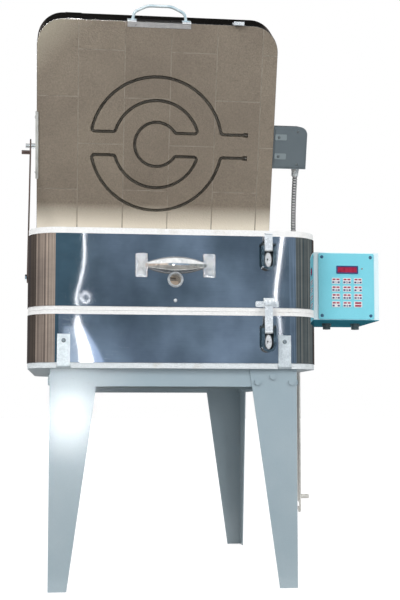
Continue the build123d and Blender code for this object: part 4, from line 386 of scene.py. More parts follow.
@dataclass(frozen=True)
class Zinc(Finish):
    """Galvanised steel with soft spangles and handling marks."""

    name: str = "zinc_plate"
    pale: Colour = (0.8, 0.87, 0.9)
    grey: Colour = (0.56, 0.62, 0.65)
    fine: float = 260.0
    metal: float = 0.35
    gloss: float = 0.28

    def lay_out(self, bench: Bench) -> None:
        """Lay out the nodes."""
        spangle = bench.cells(self.fine)
        smear = bench.noise(34.0, 5.0, 0.7)
        tone = bench.math("ADD", bench.math("MULTIPLY", spangle, 0.25), bench.math("MULTIPLY", smear, 0.75))
        bench.colour(bench.ramp(tone, (0.3, self.grey), (0.62, self.pale)))
        bench.plain(metallic=self.metal)
        bench.rough(smear, 0.3, 0.7, self.gloss, self.gloss + 0.14)
        bench.relief((smear, 0.00008))


@dataclass(frozen=True)
class Chrome(Finish):
    """Bright plating with faint pits and fingermarks."""

    name: str = "bright_chrome"
    bright: Colour = (0.84, 0.88, 0.9)
    dim: Colour = (0.66, 0.7, 0.73)
    dents: float = 0.00005
    metal: float = 1.0

    def lay_out(self, bench: Bench) -> None:
        """Lay out the nodes."""
        mark = bench.noise(45.0, 4.0, 0.6)
        pits = bench.noise(700.0, 2.0)
        bench.colour(bench.ramp(mark, (0.35, self.dim), (0.6, self.bright)))
        bench.plain(metallic=self.metal)
        bench.rough(mark, 0.35, 0.7, 0.07, 0.2)
        bench.relief((pits, 0.000008), (mark, self.dents))


@dataclass(frozen=True)
class Grip(Finish):
    """Chromed pull: a rounded grip on two plates with pressed crosses."""

    name: str = "pull_chrome"
    bright: Colour = (0.93, 0.94, 0.94)
    dim: Colour = (0.74, 0.76, 0.77)
    middle_z: float = 0.145
    plate_x: float = 0.07
    grip_half: float = 0.056
    rounding: float = 26.0
    cross_slope: float = 1.6
    cross_band: Pair = (0.0012, 0.0042)
    cross_rise: float = 0.0016
    hammer_rise: float = 0.0014

    def lay_out(self, bench: Bench) -> None:
        """Lay out the nodes."""
        across = bench.math("ABSOLUTE", bench.part(0))
        rise = bench.math("SUBTRACT", bench.part(2), self.middle_z)
        plate = bench.grade(across, self.grip_half, self.grip_half + 0.001, 0.0, 1.0)
        crown = bench.math("MULTIPLY", bench.math("MULTIPLY", rise, rise), -self.rounding)
        crown = bench.math("MULTIPLY", crown, bench.math("SUBTRACT", 1.0, plate))
        aside = bench.math("MULTIPLY", bench.math("SUBTRACT", across, self.plate_x), self.cross_slope)
        arm = bench.math("SUBTRACT", bench.math("ABSOLUTE", aside), bench.math("ABSOLUTE", rise))
        cross = bench.grade(bench.math("ABSOLUTE", arm), *self.cross_band, 1.0, 0.0)
        cross = bench.math("MULTIPLY", cross, plate)
        mark = bench.noise(70.0, 4.0, 0.6)
        hammer = bench.math("MULTIPLY", bench.noise(230.0, 2.0), plate)
        bench.colour(bench.ramp(mark, (0.35, self.dim), (0.6, self.bright)))
        bench.plain(metallic=0.9)
        bench.rough(mark, 0.35, 0.7, 0.07, 0.2)
        bench.relief((crown, 1.0), (cross, self.cross_rise), (hammer, self.hammer_rise))


@dataclass(frozen=True)
class Strip(Finish):
    """Angle strip under the lid's handle: grey face, dark upper edge and bright feet."""

    name: str = "handle_strip"
    face: Colour = (0.4, 0.39, 0.385)
    dark: Colour = (0.03, 0.028, 0.028)
    feet: Colour = (0.88, 0.9, 0.92)
    edge_s: float = 0.609
    foot_x: float = 0.056

    def lay_out(self, bench: Bench) -> None:
        """Lay out the nodes."""
        smear = bench.noise(60.0, 5.0, 0.7)
        face = bench.ramp(smear, (0.3, tuple(0.75 * c for c in self.face)), (0.65, self.face))
        beyond = bench.grade(bench.part(1, bench.face), self.edge_s, self.edge_s + 0.0006, 0.0, 1.0)
        across = bench.math("ABSOLUTE", bench.part(0))
        foot = bench.grade(across, self.foot_x, self.foot_x + 0.001, 0.0, 1.0)
        upper = bench.blend(foot, self.dark, self.feet)
        bench.colour(bench.blend(beyond, face, upper))
        bench.plain(metallic=0.3)
        bench.rough(smear, 0.3, 0.7, 0.26, 0.4)
        bench.relief((smear, 0.00008))


@dataclass(frozen=True)
class LatchPlate(Finish):
    """Latch base: a plate painted dark as shade, with a bright boss."""

    name: str = "latch_plate"
    # painted shadow: the two dark plate colours stand in for the shade around the boss
    grime_and_shade: Colour = (0.035, 0.045, 0.05)
    base: Colour = (0.06, 0.075, 0.08)
    boss: Colour = (0.94, 0.95, 0.95)
    level_y: float = -0.2992
    middle_x: float = 0.1895
    boss_half: float = 0.008

    def lay_out(self, bench: Bench) -> None:
        """Lay out the nodes."""
        smear = bench.noise(90.0, 4.0, 0.6)
        proud = bench.grade(bench.part(1), self.level_y - 0.0012, self.level_y, 1.0, 0.0)
        aside = bench.math("ABSOLUTE", bench.math("SUBTRACT", bench.part(0), self.middle_x))
        narrow = bench.grade(aside, self.boss_half, self.boss_half + 0.0003, 1.0, 0.0)
        proud = bench.math("MULTIPLY", proud, narrow)
        # painted shadow: dark plate colour for the shade in the lever's window
        base = bench.ramp(smear, (0.3, self.grime_and_shade), (0.7, self.base))
        bench.colour(bench.blend(proud, base, self.boss))
        bench.plain(metallic=0.25)
        bench.rough(smear, 0.3, 0.7, 0.18, 0.34)
        bench.relief((smear, 0.0001))


@dataclass(frozen=True)
class Paint(Finish):
    """Stoved paint on sheet, with a slight texture, worn, dusty places and, where given, painted shade
    below a set height.
    """

    coat: Colour
    dust: Colour
    gloss: float = 0.38
    peel: float = 0.000012
    spread: float = 0.5
    lacquer: float = 0.0
    # painted shade: colour and top height of a shaded underside
    lower: Colour | None = None
    underside_shade_top: float = 0.0
    raised: Colour | None = None
    raised_from: float = 0.0

    def lay_out(self, bench: Bench) -> None:
        """Lay out the nodes."""
        cloud = bench.noise(6.0, 5.0, 0.6)
        speck = bench.noise(900.0, 2.0)
        film = bench.ramp(cloud, (self.spread - 0.18, self.coat), (self.spread + 0.25, self.dust))
        # painted shade: below a set height the film takes the darker lower colour and loses its specular
        if self.lower:
            height = bench.part(2)
            under = bench.grade(height, self.underside_shade_top - 0.0005, self.underside_shade_top, 1.0, 0.0)
            film = bench.blend(under, film, self.lower)
            bench.feed(bench.grade(under, 0.0, 1.0, 0.5, 0.0), bench.shader.inputs["Specular IOR Level"])
        if self.raised:
            outward = bench.part(2, bench.face)
            proud = bench.grade(outward, self.raised_from, self.raised_from + 0.0003, 0.0, 1.0)
            film = bench.blend(proud, film, self.raised)
        grain = bench.ramp(speck, (0.3, (0.96, 0.96, 0.96)), (0.7, (1.03, 1.03, 1.03)))
        bench.colour(bench.blend(1.0, film, grain, Mode.MULTIPLY))
        bench.rough(cloud, 0.3, 0.75, self.gloss, self.gloss + 0.14)
        bench.plain(coat_weight=self.lacquer, coat_roughness=0.15)
        bench.relief((speck, self.peel), (bench.noise(160.0, 2.0), self.peel * 2))


@dataclass(frozen=True)
class Moulding(Finish):
    """Moulded or printed plastic, board or ceramic."""

    base: Colour
    shade: Colour
    gloss: float = 0.4
    scale: float = 120.0
    relief: float = 0.00002

    def lay_out(self, bench: Bench) -> None:
        """Lay out the nodes."""
        cloud = bench.noise(self.scale, 4.0, 0.6)
        bench.colour(bench.ramp(cloud, (0.3, self.shade), (0.7, self.base)))
        bench.rough(cloud, 0.3, 0.7, self.gloss, self.gloss + 0.1)
        bench.relief((bench.noise(800.0, 2.0), self.relief))


@dataclass(frozen=True)
class Window(Finish):
    """Dark red display window with the faint segments behind it."""

    name: str = "display_red"
    digits_per_metre: float = 105.0
    dark: Colour = (0.27, 0.005, 0.034)
    red: Colour = (0.42, 0.012, 0.062)
    segment: Colour = (0.42, 0.03, 0.06)

    def lay_out(self, bench: Bench) -> None:
        """Lay out the nodes."""
        across = bench.math("MULTIPLY", bench.part(0), self.digits_per_metre)
        across = bench.math("FRACT", across)
        aside = bench.math("ABSOLUTE", bench.math("SUBTRACT", across, 0.5))
        bar = bench.grade(aside, 0.3, 0.42, 1.0, 0.0)
        dusk = bench.noise(90.0, 3.0)
        red = bench.ramp(dusk, (0.3, self.dark), (0.7, self.red))
        bench.colour(bench.blend(bench.math("MULTIPLY", bar, 0.35), red, self.segment))
        bench.plain(roughness=0.16)
        bench.relief((dusk, 0.00002))


@dataclass(frozen=True)
class Wire(Finish):
    """Resistance wire darkened by heat."""

    name: str = "element_wire"
    burnt: Colour = (0.13, 0.12, 0.11)
    worn: Colour = (0.34, 0.32, 0.29)

    def lay_out(self, bench: Bench) -> None:
        """Lay out the nodes."""
        scale = bench.noise(160.0, 4.0, 0.65)
        bench.colour(bench.ramp(scale, (0.3, self.burnt), (0.7, self.worn)))
        bench.plain(metallic=0.3)
        bench.rough(scale, 0.3, 0.7, 0.45, 0.75)
        bench.relief((scale, 0.00008))


@dataclass(frozen=True)
class Hose(Finish):
    """Strip-wound steel with painted shade between its ribs and at its edges."""

    name: str = "conduit_steel"
    bright: Colour = (0.88, 0.87, 0.87)
    dull: Colour = (0.6, 0.59, 0.6)
    # painted shade colour for the edges and the grooves
    edge: Colour = (0.035, 0.045, 0.05)
    edge_shade_band: Pair = (0.12, 0.42)
    groove_shade_band: Pair = (0.45, 0.8)
    groove: str = "groove"

    def lay_out(self, bench: Bench) -> None:
        """Lay out the nodes."""
        grime_and_shade = bench.noise(120.0, 4.0, 0.6)
        strip = bench.ramp(grime_and_shade, (0.35, self.dull), (0.65, self.bright))
        facing = bench.node("ShaderNodeLayerWeight", {"Blend": 0.5})
        # painted shade: darker where the tube turns edge-on
        edge_shade = bench.grade(facing.outputs["Facing"], *self.edge_shade_band, 0.0, 0.95)
        depth = bench.node("ShaderNodeAttribute", attribute_name=self.groove)
        # painted shade: darker in the grooves between the ribs
        deep = bench.grade(depth.outputs["Fac"], *self.groove_shade_band, 0.0, 0.85)
        strip = bench.blend(deep, strip, self.edge)
        bench.colour(bench.blend(edge_shade, strip, self.edge))
        bench.plain(metallic=0.55)
        bench.rough(grime_and_shade, 0.3, 0.7, 0.3, 0.46)
        bench.relief((bench.noise(700.0, 2.0), 0.00004))


NAVY_PRINT = Moulding("navy_print", (0.02, 0.05, 0.2), (0.015, 0.036, 0.15), 0.45)
RED_PRINT = Moulding("red_print", (0.42, 0.02, 0.075), (0.34, 0.015, 0.06), 0.45)

NODES_OF: dict[Finish, str] = {
    LidBrick(): "lid_bricks",
    WallBrick("slab_firebrick", (0.76, 0.81, 0.83), (0.66, 0.66, 0.62), chip=0.003): "floor_slab",
    WallBrick(): "base_wall ring_wall",
    Sheet("polished_stainless"): "base_jacket ring_jacket",
    # painted shade: a dark copy of the polished stainless, for the lid band's dark reflection
    Sheet("lid_stainless_painted_dark", (0.3, 0.29, 0.28), (0.12, 0.115, 0.11), 0.16): "lid_jacket",
    Sheet("dark_bar", (0.16, 0.12, 0.11), (0.07, 0.055, 0.05), 0.4, wave=0.0001): "lid_prop",
    Sheet("clamp_brass", (0.62, 0.46, 0.2), (0.42, 0.3, 0.13), 0.28, wave=0.0001): "element_clamps",
    Strip(): "handle_bracket",
    Zinc("side_strip", (0.6, 0.61, 0.58), (0.46, 0.47, 0.45), 60.0, 0.15, 0.34): "prop_bracket",
    Zinc("cream_bar", (0.86, 0.84, 0.78), (0.66, 0.64, 0.59), 200.0, 0.2, 0.34): "ring_prop",
    Zinc("bright_zinc", (0.9, 0.94, 0.96), (0.66, 0.71, 0.75), 320.0, 0.3, 0.2):
        "lid_catch ring_catch peephole jacket_screws upper_latch_strap lower_latch_strap "
        "conduit_gland lid_gland",
    Zinc("screw_steel", (0.34, 0.4, 0.42), (0.2, 0.24, 0.26), 320.0, 0.55, 0.2): "clip_screws",
    Zinc("dark_screw", (0.17, 0.2, 0.21), (0.09, 0.11, 0.12), 320.0, 0.3, 0.3): "cover_screws",
    Zinc("panel_screw", (0.1, 0.2, 0.32), (0.05, 0.12, 0.2), 320.0, 0.4, 0.18): "panel_screws",
    Grip(): "front_handle",
    LatchPlate(): "upper_latch_plate lower_latch_plate",
    # painted shade: chrome darkened to stand in for the levers' dark reflections and the shadow in their
    # window
    Chrome("lever_chrome_painted_dark", (0.34, 0.4, 0.42), (0.06, 0.085, 0.095), 0.00025):
        "upper_latch_lever lower_latch_lever",
    # painted reflection: pale cyan colour on a half-metal chrome stands in for the handle's bright
    # reflection
    Chrome("arch_chrome_painted_sheen", (0.84, 0.96, 1.0), (0.42, 0.62, 0.72), 0.00025, 0.35): "lid_handle",
    Chrome():
        "lid_hinge_pins ring_hinge_pins lid_prop_pivot ring_prop_pivot ring_prop_stud lid_prop_stud",
    Paint("stand_paint", (0.325, 0.42, 0.47), (0.395, 0.48, 0.52), 0.36, lacquer=0.9):
        "stand_legs stand_rails stand_bolts",
    # painted shade: the box's underside takes the dark lower colour
    Paint("controller_paint", (0.72, 0.88, 0.92), (0.8, 0.94, 0.98), 0.42,
          lower=(0.055, 0.3, 0.4), underside_shade_top=0.0455): "control_box",
    Paint("terminal_paint", (0.1, 0.13, 0.148), (0.15, 0.182, 0.2), 0.4,
          raised=(0.225, 0.27, 0.285), raised_from=-0.002): "terminal_box terminal_cover",
    Paint("panel_print", (0.185, 0.64, 0.76), (0.23, 0.7, 0.82), 0.33, 0.000005): "control_panel",
    NAVY_PRINT: "display_bezel",
    Window(): "display_window",
    Moulding("key_white", (0.82, 0.82, 0.82), (0.76, 0.77, 0.78), 0.45): "keypad_keys",
    Moulding("lamp_red", (0.42, 0.3, 0.26), (0.3, 0.2, 0.18), 0.2): "status_lamp",
    Moulding("bushing_ceramic", (0.74, 0.71, 0.64), (0.62, 0.58, 0.5), 0.55, 90.0, 0.0001):
        "terminal_bushings thermocouple",
    Moulding("board_green", (0.04, 0.2, 0.09), (0.02, 0.12, 0.05), 0.4, 60.0): "circuit_board",
    Moulding("core_steel", (0.16, 0.15, 0.14), (0.09, 0.085, 0.08), 0.5, 300.0, 0.0001): "transformer",
    Moulding("black_plastic", (0.035, 0.037, 0.04), (0.022, 0.023, 0.025), 0.38): "relays",
    Moulding("gland_grey", (0.22, 0.27, 0.28), (0.1, 0.14, 0.15), 0.3): "box_glands",
    Wire(): "ring_elements lid_element",
    Hose(): "conduit",
}
FINISHES = {node: finish for finish, nodes in NODES_OF.items() for node in nodes.split()}


class Paintbox:
    """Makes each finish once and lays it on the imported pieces."""

    def __init__(self) -> None:
        """Start with no material made."""
        self.made: dict[str, Material] = {}

    def material(self, finish: Finish) -> Material:
        """Material of a finish, made at its first use."""
        if finish.name not in self.made:
            self.made[finish.name] = finish.make()
        return self.made[finish.name]

    def lay(self, piece: Piece, finish: Finish) -> None:
        """Put one finish on a piece."""
        piece.data.materials.clear()
        piece.data.materials.append(self.material(finish))
        log.info("%s has finish %s", piece.name, finish.name)

    def dress(self, nodes: dict[str, Piece]) -> None:
        """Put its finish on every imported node."""
        for name, piece in nodes.items():
            self.lay(piece, FINISHES.get(name, Zinc()))


class Tree(Graph):
    """Geometry nodes tree with named inputs that turns a curve into a piece."""

    def __init__(self, name: str, sizes: dict[str, float]) -> None:
        """Start a tree.

        Args:
            name: the tree's name.
            sizes: named inputs and their values.
        """
        super().__init__(bpy.data.node_groups.new(name, "GeometryNodeTree"))
        self.sizes = sizes
        face = self.tree.interface
        face.new_socket("Geometry", in_out="INPUT", socket_type="NodeSocketGeometry")
        self.identifiers = {
            label: face.new_socket(label, in_out="INPUT", socket_type="NodeSocketFloat").identifier
            for label in sizes}
        face.new_socket("Geometry", in_out="OUTPUT", socket_type="NodeSocketGeometry")
        self.entry = self.node("NodeGroupInput").outputs
        self.exit = self.node("NodeGroupOutput").inputs

    def vector(self, operation: str, inputs: dict) -> Socket:
        """One step of vector arithmetic."""
        return self.node("ShaderNodeVectorMath", inputs, operation=operation).outputs[0]

    def even(self) -> Socket:
        """The curve with a point at every step."""
        inputs = {"Curve": self.entry["Geometry"], "Length": self.entry["Step"]}
        return self.node("GeometryNodeResampleCurve", inputs, mode="LENGTH").outputs[0]

    def phase(self) -> Socket:
        """Angle that turns once in every pitch of the curve's length."""
        along = self.node("GeometryNodeSplineParameter").outputs["Length"]
        return self.math("MULTIPLY", self.math("DIVIDE", along, self.entry["Pitch"]), 2 * math.pi)

    def skin(self, curve: Socket, sides: int, radius: object, scale: object, material: Material) -> None:
        """Sweep a round section along the curve, realize it and end the tree.

        Args:
            curve: the line of the sweep.
            sides: number of the section's corners.
            radius: radius of the section.
            scale: factor on the section along the curve.
            material: what the surface is made of.
        """
        section = self.node("GeometryNodeCurvePrimitiveCircle", {"Resolution": sides, "Radius": radius})
        sweep = self.node("GeometryNodeCurveToMesh", {"Curve": curve, "Profile Curve": section.outputs[0],
                                                      "Scale": scale, "Fill Caps": True})
        real = self.node("GeometryNodeRealizeInstances", {0: sweep.outputs[0]})
        coat = self.node("GeometryNodeSetMaterial", {"Geometry": real.outputs[0], "Material": material})
        self.feed(coat.outputs[0], self.exit[0])

    def bake(self, curve: Piece, name: str) -> Piece:
        """Run the tree on a curve, which is then removed, and keep the result as a plain mesh.

        Args:
            curve: the curve that it runs on.
            name: name of the new piece.

        Returns:
            The new piece, at the origin.
        """
        modifier = curve.modifiers.new("build", "NODES")
        modifier.node_group = self.tree
        for label, value in self.sizes.items():
            modifier[self.identifiers[label]] = value
        mesh = shown_mesh(curve, name)
        curve.modifiers.remove(modifier)
        bpy.data.curves.remove(curve.data)
        for polygon in mesh.polygons:
            polygon.use_smooth = True
        return add_object(name, mesh)


def add_object(name: str, data: bpy.types.ID) -> Piece:
    """Object of some data, linked to the scene."""
    piece = bpy.data.objects.new(name, data)
    bpy.context.collection.objects.link(piece)
    return piece


def add_shape(name: str, shape: bmesh.types.BMesh) -> Piece:
    """Object of a finished shape, which is freed."""
    mesh = bpy.data.meshes.new(name)
    shape.to_mesh(mesh)
    shape.free()
    return add_object(name, mesh)


def add_curve(name: str, points: Sequence[Sequence[float]], line: Line) -> Piece:
    """Curve object.

    Args:
        name: its name.
        points: where it goes.
        line: how it runs between them.

    Returns:
        The curve object, linked to the scene.
    """
    data = bpy.data.curves.new(name, "CURVE")
    data.dimensions = "3D"
    spline = data.splines.new(line.value)
    spline.points.add(len(points) - 1)
    for target, point in zip(spline.points, points):
        target.co = (*point, 1.0)
    if line is Line.SMOOTH:
        spline.order_u = 3
        spline.use_endpoint_u = True
    return add_object(name, data)


def shown_mesh(piece: Piece, name: str) -> bpy.types.Mesh:
    """New mesh of what a piece shows with its modifiers."""
    bpy.context.view_layer.update()
    graph = bpy.context.evaluated_depsgraph_get()
    mesh = bpy.data.meshes.new_from_object(piece.evaluated_get(graph))
    mesh.name = name
    return mesh


@dataclass
class Coils:
    """Heating coil in the groove of the lid, with its straight tails."""

    paint: Paintbox
    turn_radius: float = 0.0028
    wire_radius: float = 0.00055
    wire_sides: int = 4
    pitch: float = 0.0036
    steps_per_turn: int = 8
    outer: float = 0.166
    middle: float = 0.1085
    inner: float = 0.055
    link_half: float = 0.029
    end_x: float = 0.226
    centre_s: float = 0.313
    groove_depth: float = 0.0058
    arc_step: float = 0.006
    arc_spans: int = 8
    sharp_turn: float = 0.5
    corner_reach: float = 0.007
    corner_ease: float = 0.002
    tail_x: float = 0.3205
    tail_drop: float = 0.016
    tail_radius: float = 0.0027
    tail_sides: int = 12

    def arc(self, radius: float, start: float, end: float) -> list[Pair]:
        """Points along an arc of a ring.

        Args:
            radius: ring radius.
            start: first angle.
            end: last angle.

        Returns:
            Points in the lid's face.
        """
        count = max(self.arc_spans, int(abs(end - start) * radius / self.arc_step))
        angles = [start + (end - start) * i / count for i in range(count + 1)]
        return [(radius * math.cos(angle), radius * math.sin(angle)) for angle in angles]

    def winding(self) -> list[Pair]:
        """The element's path in the lid face, from terminal to terminal."""
        rise = [math.asin(self.link_half / r) for r in (self.outer, self.middle, self.inner)]
        upper = [(self.end_x, self.link_half)]
        upper += self.arc(self.outer, rise[0], math.pi - rise[0])
        upper += self.arc(self.middle, math.pi - rise[1], rise[1])
        upper += self.arc(self.inner, rise[2], math.pi)
        return upper + [(x, -y) for x, y in reversed(upper[:-1])]

    def rounded(self, points: Sequence[Pair]) -> list[Vector]:
        """Path with its corners eased, set into the lid.

        Args:
            points: path in the lid face.

        Returns:
            Points in the model's frame.
        """
        spots = [Vector((x, y, 0.0)) for x, y in points]
        eased = [spots[0]]
        for before, here, after in zip(spots, spots[1:], spots[2:]):
            back, onward = before - here, after - here
            if (-back).angle(onward) > self.sharp_turn:
                inward = before.lerp(after, 0.5) - here
                eased += [here + back.normalized() * min(self.corner_reach, back.length),
                          here + inward.normalized() * self.corner_ease,
                          here + onward.normalized() * min(self.corner_reach, onward.length)]
            else:
                eased.append(here)
        eased.append(spots[-1])
        return [lid_point(p.x, self.centre_s + p.y, self.groove_depth) for p in eased]

    def wind(self, name: str, points: Sequence[Vector]) -> Piece:
        """Wind one coil along a path.

        Args:
            name: name of the piece.
            points: the path.

        Returns:
            The coil as a plain mesh.
        """
        tree = Tree(name + "_tree", {"Turn Radius": self.turn_radius, "Wire Radius": self.wire_radius,
                                     "Pitch": self.pitch, "Step": self.pitch / self.steps_per_turn})
        angle, radius = tree.phase(), tree.entry["Turn Radius"]
        normal = tree.node("GeometryNodeInputNormal").outputs[0]
        tangent = tree.node("GeometryNodeInputTangent").outputs[0]
        side = tree.vector("CROSS_PRODUCT", {0: tangent, 1: normal})
        parts = {}
        for place, (way, wave) in enumerate(((normal, "COSINE"), (side, "SINE"))):
            reach = tree.math("MULTIPLY", tree.math(wave, angle), radius)
            parts[place] = tree.vector("SCALE", {0: way, "Scale": reach})
        offset = tree.vector("ADD", parts)
        moved = tree.node("GeometryNodeSetPosition", {"Geometry": tree.even(), "Offset": offset})
        wire = self.paint.material(Wire())
        tree.skin(moved.outputs[0], self.wire_sides, tree.entry["Wire Radius"], 1.0, wire)
        return tree.bake(add_curve(name + "_path", points, Line.STRAIGHT), name)

    def tails(self) -> Piece:
        """Straight ends of the lid element, from the groove to the terminal box."""
        shape = bmesh.new()
        for sign in (-1, 1):
            across = self.centre_s + sign * self.link_half
            start = lid_point(self.end_x, across, self.groove_depth)
            line = lid_point(self.tail_x, across, self.groove_depth + self.tail_drop) - start
            turn = line.to_track_quat("Z", "Y").to_matrix().to_4x4()
            bmesh.ops.create_cone(shape, cap_ends=True, segments=self.tail_sides, radius1=self.tail_radius,
                                  radius2=self.tail_radius, depth=line.length,
                                  matrix=Matrix.Translation(start + line / 2) @ turn)
        return add_shape("element_tails", shape)

    def build(self) -> None:
        """Make the lid's coil with its tails."""
        coil = self.wind("lid_coil", self.rounded(self.winding()))
        tails = self.tails()
        for piece in (coil, tails):
            self.paint.lay(piece, Wire())
            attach(piece, "lid")
        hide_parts("lid_element")
        log.info("lid coil has %d faces", len(coil.data.polygons))


@dataclass
class Conduit:
    """Strip-wound metal conduit from the lid's terminal box to the control box."""

    paint: Paintbox
    radius: float = 0.007
    rib: float = 0.0019
    pitch: float = 0.007
    samples: int = 8
    sides: int = 18
    route: tuple[Point, ...] = (
        (0.364, 0.2696, 0.4627), (0.364, 0.2879, 0.4035), (0.365, 0.303, 0.3221),
        (0.362, 0.276, 0.2461), (0.361, 0.214, 0.1911), (0.362, 0.128, 0.1641),
        (0.362, 0.062, 0.1581), (0.362, 0.0025, 0.1581))
    follow_start: Point = (0.362, 0.24, 0.19)
    follow_end: Point = (0.364, 0.27, 0.455)

    def build(self) -> None:
        """Make the ribbed tube and hang it between the lid and the ring."""
        curve = add_curve("conduit_route", self.route, Line.SMOOTH)
        path = [vertex.co.copy() for vertex in shown_mesh(curve, "conduit_line").vertices]
        tree = Tree("conduit_tree", {"Radius": self.radius, "Rib": self.rib, "Pitch": self.pitch,
                                     "Step": self.pitch / self.samples})
        wave = tree.math("ADD", tree.math("MULTIPLY", tree.math("SINE", tree.phase()), 0.5), 0.5)
        radius = tree.math("SUBTRACT", tree.entry["Radius"], tree.math("MULTIPLY", wave, tree.entry["Rib"]))
        note = tree.node("GeometryNodeStoreNamedAttribute",
                         {"Geometry": tree.even(), "Name": Hose.groove, "Value": wave},
                         data_type="FLOAT", domain="POINT")
        swell = tree.node("GeometryNodeSetCurveRadius", {"Curve": note.outputs[0], "Radius": radius})
        reading = tree.node("GeometryNodeInputRadius").outputs[0]
        tree.skin(swell.outputs[0], self.sides, 1.0, reading, self.paint.material(Hose()))
        piece = tree.bake(curve, "conduit_hose")
        self.paint.lay(piece, Hose())
        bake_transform(piece)
        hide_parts("conduit")


@dataclass
class Legends:
    """Printed marks on the keypad's keys."""

    paint: Paintbox
    columns: int = 3
    rows: int = 4
    pitch_x: float = 0.0241
    pitch_z: float = 0.0168
    lift: float = 0.00015
    numeral_height: float = 0.004
    letter_scale: float = 1.35
    boldness: float = 0.0003
    dash: Pair = (0.0064, 0.0032)
    short: Pair = (0.0046, 0.0034)
    wide: Pair = (0.01344, 0.00384)
    line_rise: float = 0.003
    dash_shift: float = 0.0042
    short_shift: float = 0.0056
    numerals: tuple[str, ...] = ("1", "2", "3", "4", "5", "6", "7", "8", "9", "", "0", "")

    def cells(self) -> list[tuple[int, int, Vector]]:
        """Row, column and middle of each key's face."""
        low, high = (Vector(corner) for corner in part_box("keypad_keys"))
        middle = (low + high) / 2
        face = low.y - self.lift
        found = []
        for row in range(self.rows):
            for column in range(self.columns):
                x = middle.x + (column - (self.columns - 1) / 2) * self.pitch_x
                z = middle.z + ((self.rows - 1) / 2 - row) * self.pitch_z
                found.append((row, column, Vector((x, face, z))))
        return found

    def numeral(self, text: str, spot: Vector) -> Piece:
        """One numeral as a flat mesh.

        Args:
            text: what it says.
            spot: middle of its baseline.

        Returns:
            A mesh object at the origin.
        """
        data = bpy.data.curves.new("numeral_" + text, "FONT")
        data.body = text
        data.size = self.numeral_height * self.letter_scale
        data.align_x = "CENTER"
        data.offset = self.boldness
        mesh = shown_mesh(add_object("numeral_" + text, data), "key_numeral_" + text)
        bpy.data.curves.remove(data)
        mesh.transform(Matrix.Translation(spot) @ Matrix.Rotation(math.radians(90), 4, "X"))
        return add_object("key_numeral_" + text, mesh)

    def sheet(self, name: str, bars: Sequence[tuple[Vector, Pair]]) -> Piece:
        """Flat printed bars facing the front, as one piece.

        Args:
            name: name of the piece.
            bars: middle, and width and height, of each bar.

        Returns:
            The piece.
        """
        shape = bmesh.new()
        for centre, (width, height) in bars:
            steps = ((-1, -1), (1, -1), (1, 1), (-1, 1))
            shape.faces.new([shape.verts.new(centre + Vector((a * width / 2, 0.0, b * height / 2)))
                             for a, b in steps])
        return add_shape(name, shape)

    def build(self) -> None:
        """Print every key."""
        red: list[tuple[Vector, Pair]] = []
        navy: list[tuple[Vector, Pair]] = []
        pieces: list[tuple[Piece, Finish]] = []
        rise = Vector((0.0, 0.0, self.line_rise))
        for row, column, spot in self.cells():
            text = self.numerals[row * self.columns + column]
            upper, lower = spot + rise, spot - rise
            if row == self.rows - 1 and column == self.columns - 1:
                red += [(upper, self.wide), (lower, self.wide)]
                continue
            for side in (-1, 1):
                red.append((upper + Vector((side * self.dash_shift, 0.0, 0.0)), self.dash))
                navy.append((lower + Vector((side * self.short_shift, 0.0, 0.0)), self.short))
            if text:
                place = lower - Vector((0.0, 0.0, self.numeral_height / 2))
                pieces.append((self.numeral(text, place), NAVY_PRINT))
        pieces.append((self.sheet("key_marks_red", red), RED_PRINT))
        pieces.append((self.sheet("key_marks_navy", navy), NAVY_PRINT))
        for piece, finish in pieces:
            self.paint.lay(piece, finish)
            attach(piece, "ring")
        log.info("keypad has %d printed pieces", len(pieces))


@dataclass(frozen=True)
class Wall(Finish):
    """Wall of the room with soft upright bands, seen only in polished surfaces."""

    place: Point
    turn: float
    size: Pair
    deep: Colour
    pale: Colour
    bands: float = 2.0
    tall: float = 0.25
    soft: float = 0.16
    tilt: float = 90.0

    def lay_out(self, bench: Bench) -> None:
        """Lay out the nodes."""
        bands = bench.noise(3.0, 3.0, 0.55, bench.place(scale=(self.bands, self.tall, 1.0)))
        bench.shine(bench.ramp(bands, (0.5 - self.soft, self.deep), (0.5 + self.soft, self.pale)), 1.0)


@dataclass(frozen=True)
class Glint(Finish):
    """Strip whose reflection shows on the front sheet.

    The spots are places on the sheet, and the strip's half width goes from the
    first value of widths to the second. Spans between spots are rounded.
    """

    spots: tuple[Pair, ...]
    widths: Pair
    strength: float
    back: float = 0.0
    colour: Colour = (1.0, 1.0, 1.0)
    steps: int = 6

    def lay_out(self, bench: Bench) -> None:
        """Lay out the nodes."""
        bench.shine(self.colour, self.strength)

    def line(self) -> list[Vector]:
        """Rounded line through the spots."""
        spots = [Vector(spot) for spot in self.spots]
        spots = [spots[0] * 2 - spots[1]] + spots + [spots[-1] * 2 - spots[-2]]
        found = []
        for a, b, c, d in zip(spots, spots[1:], spots[2:], spots[3:]):
            for step in range(self.steps):
                t = step / self.steps
                found.append(0.5 * (2 * b + (c - a) * t + (2 * a - 5 * b + 4 * c - d) * t**2
                                    + (3 * b - a - 3 * c + d) * t**3))
        return found + [spots[-2]]


@dataclass(frozen=True)
class Lamp:
    """Soft square lamp."""

    name: str
    place: Point
    target: Point
    size: float
    power: float


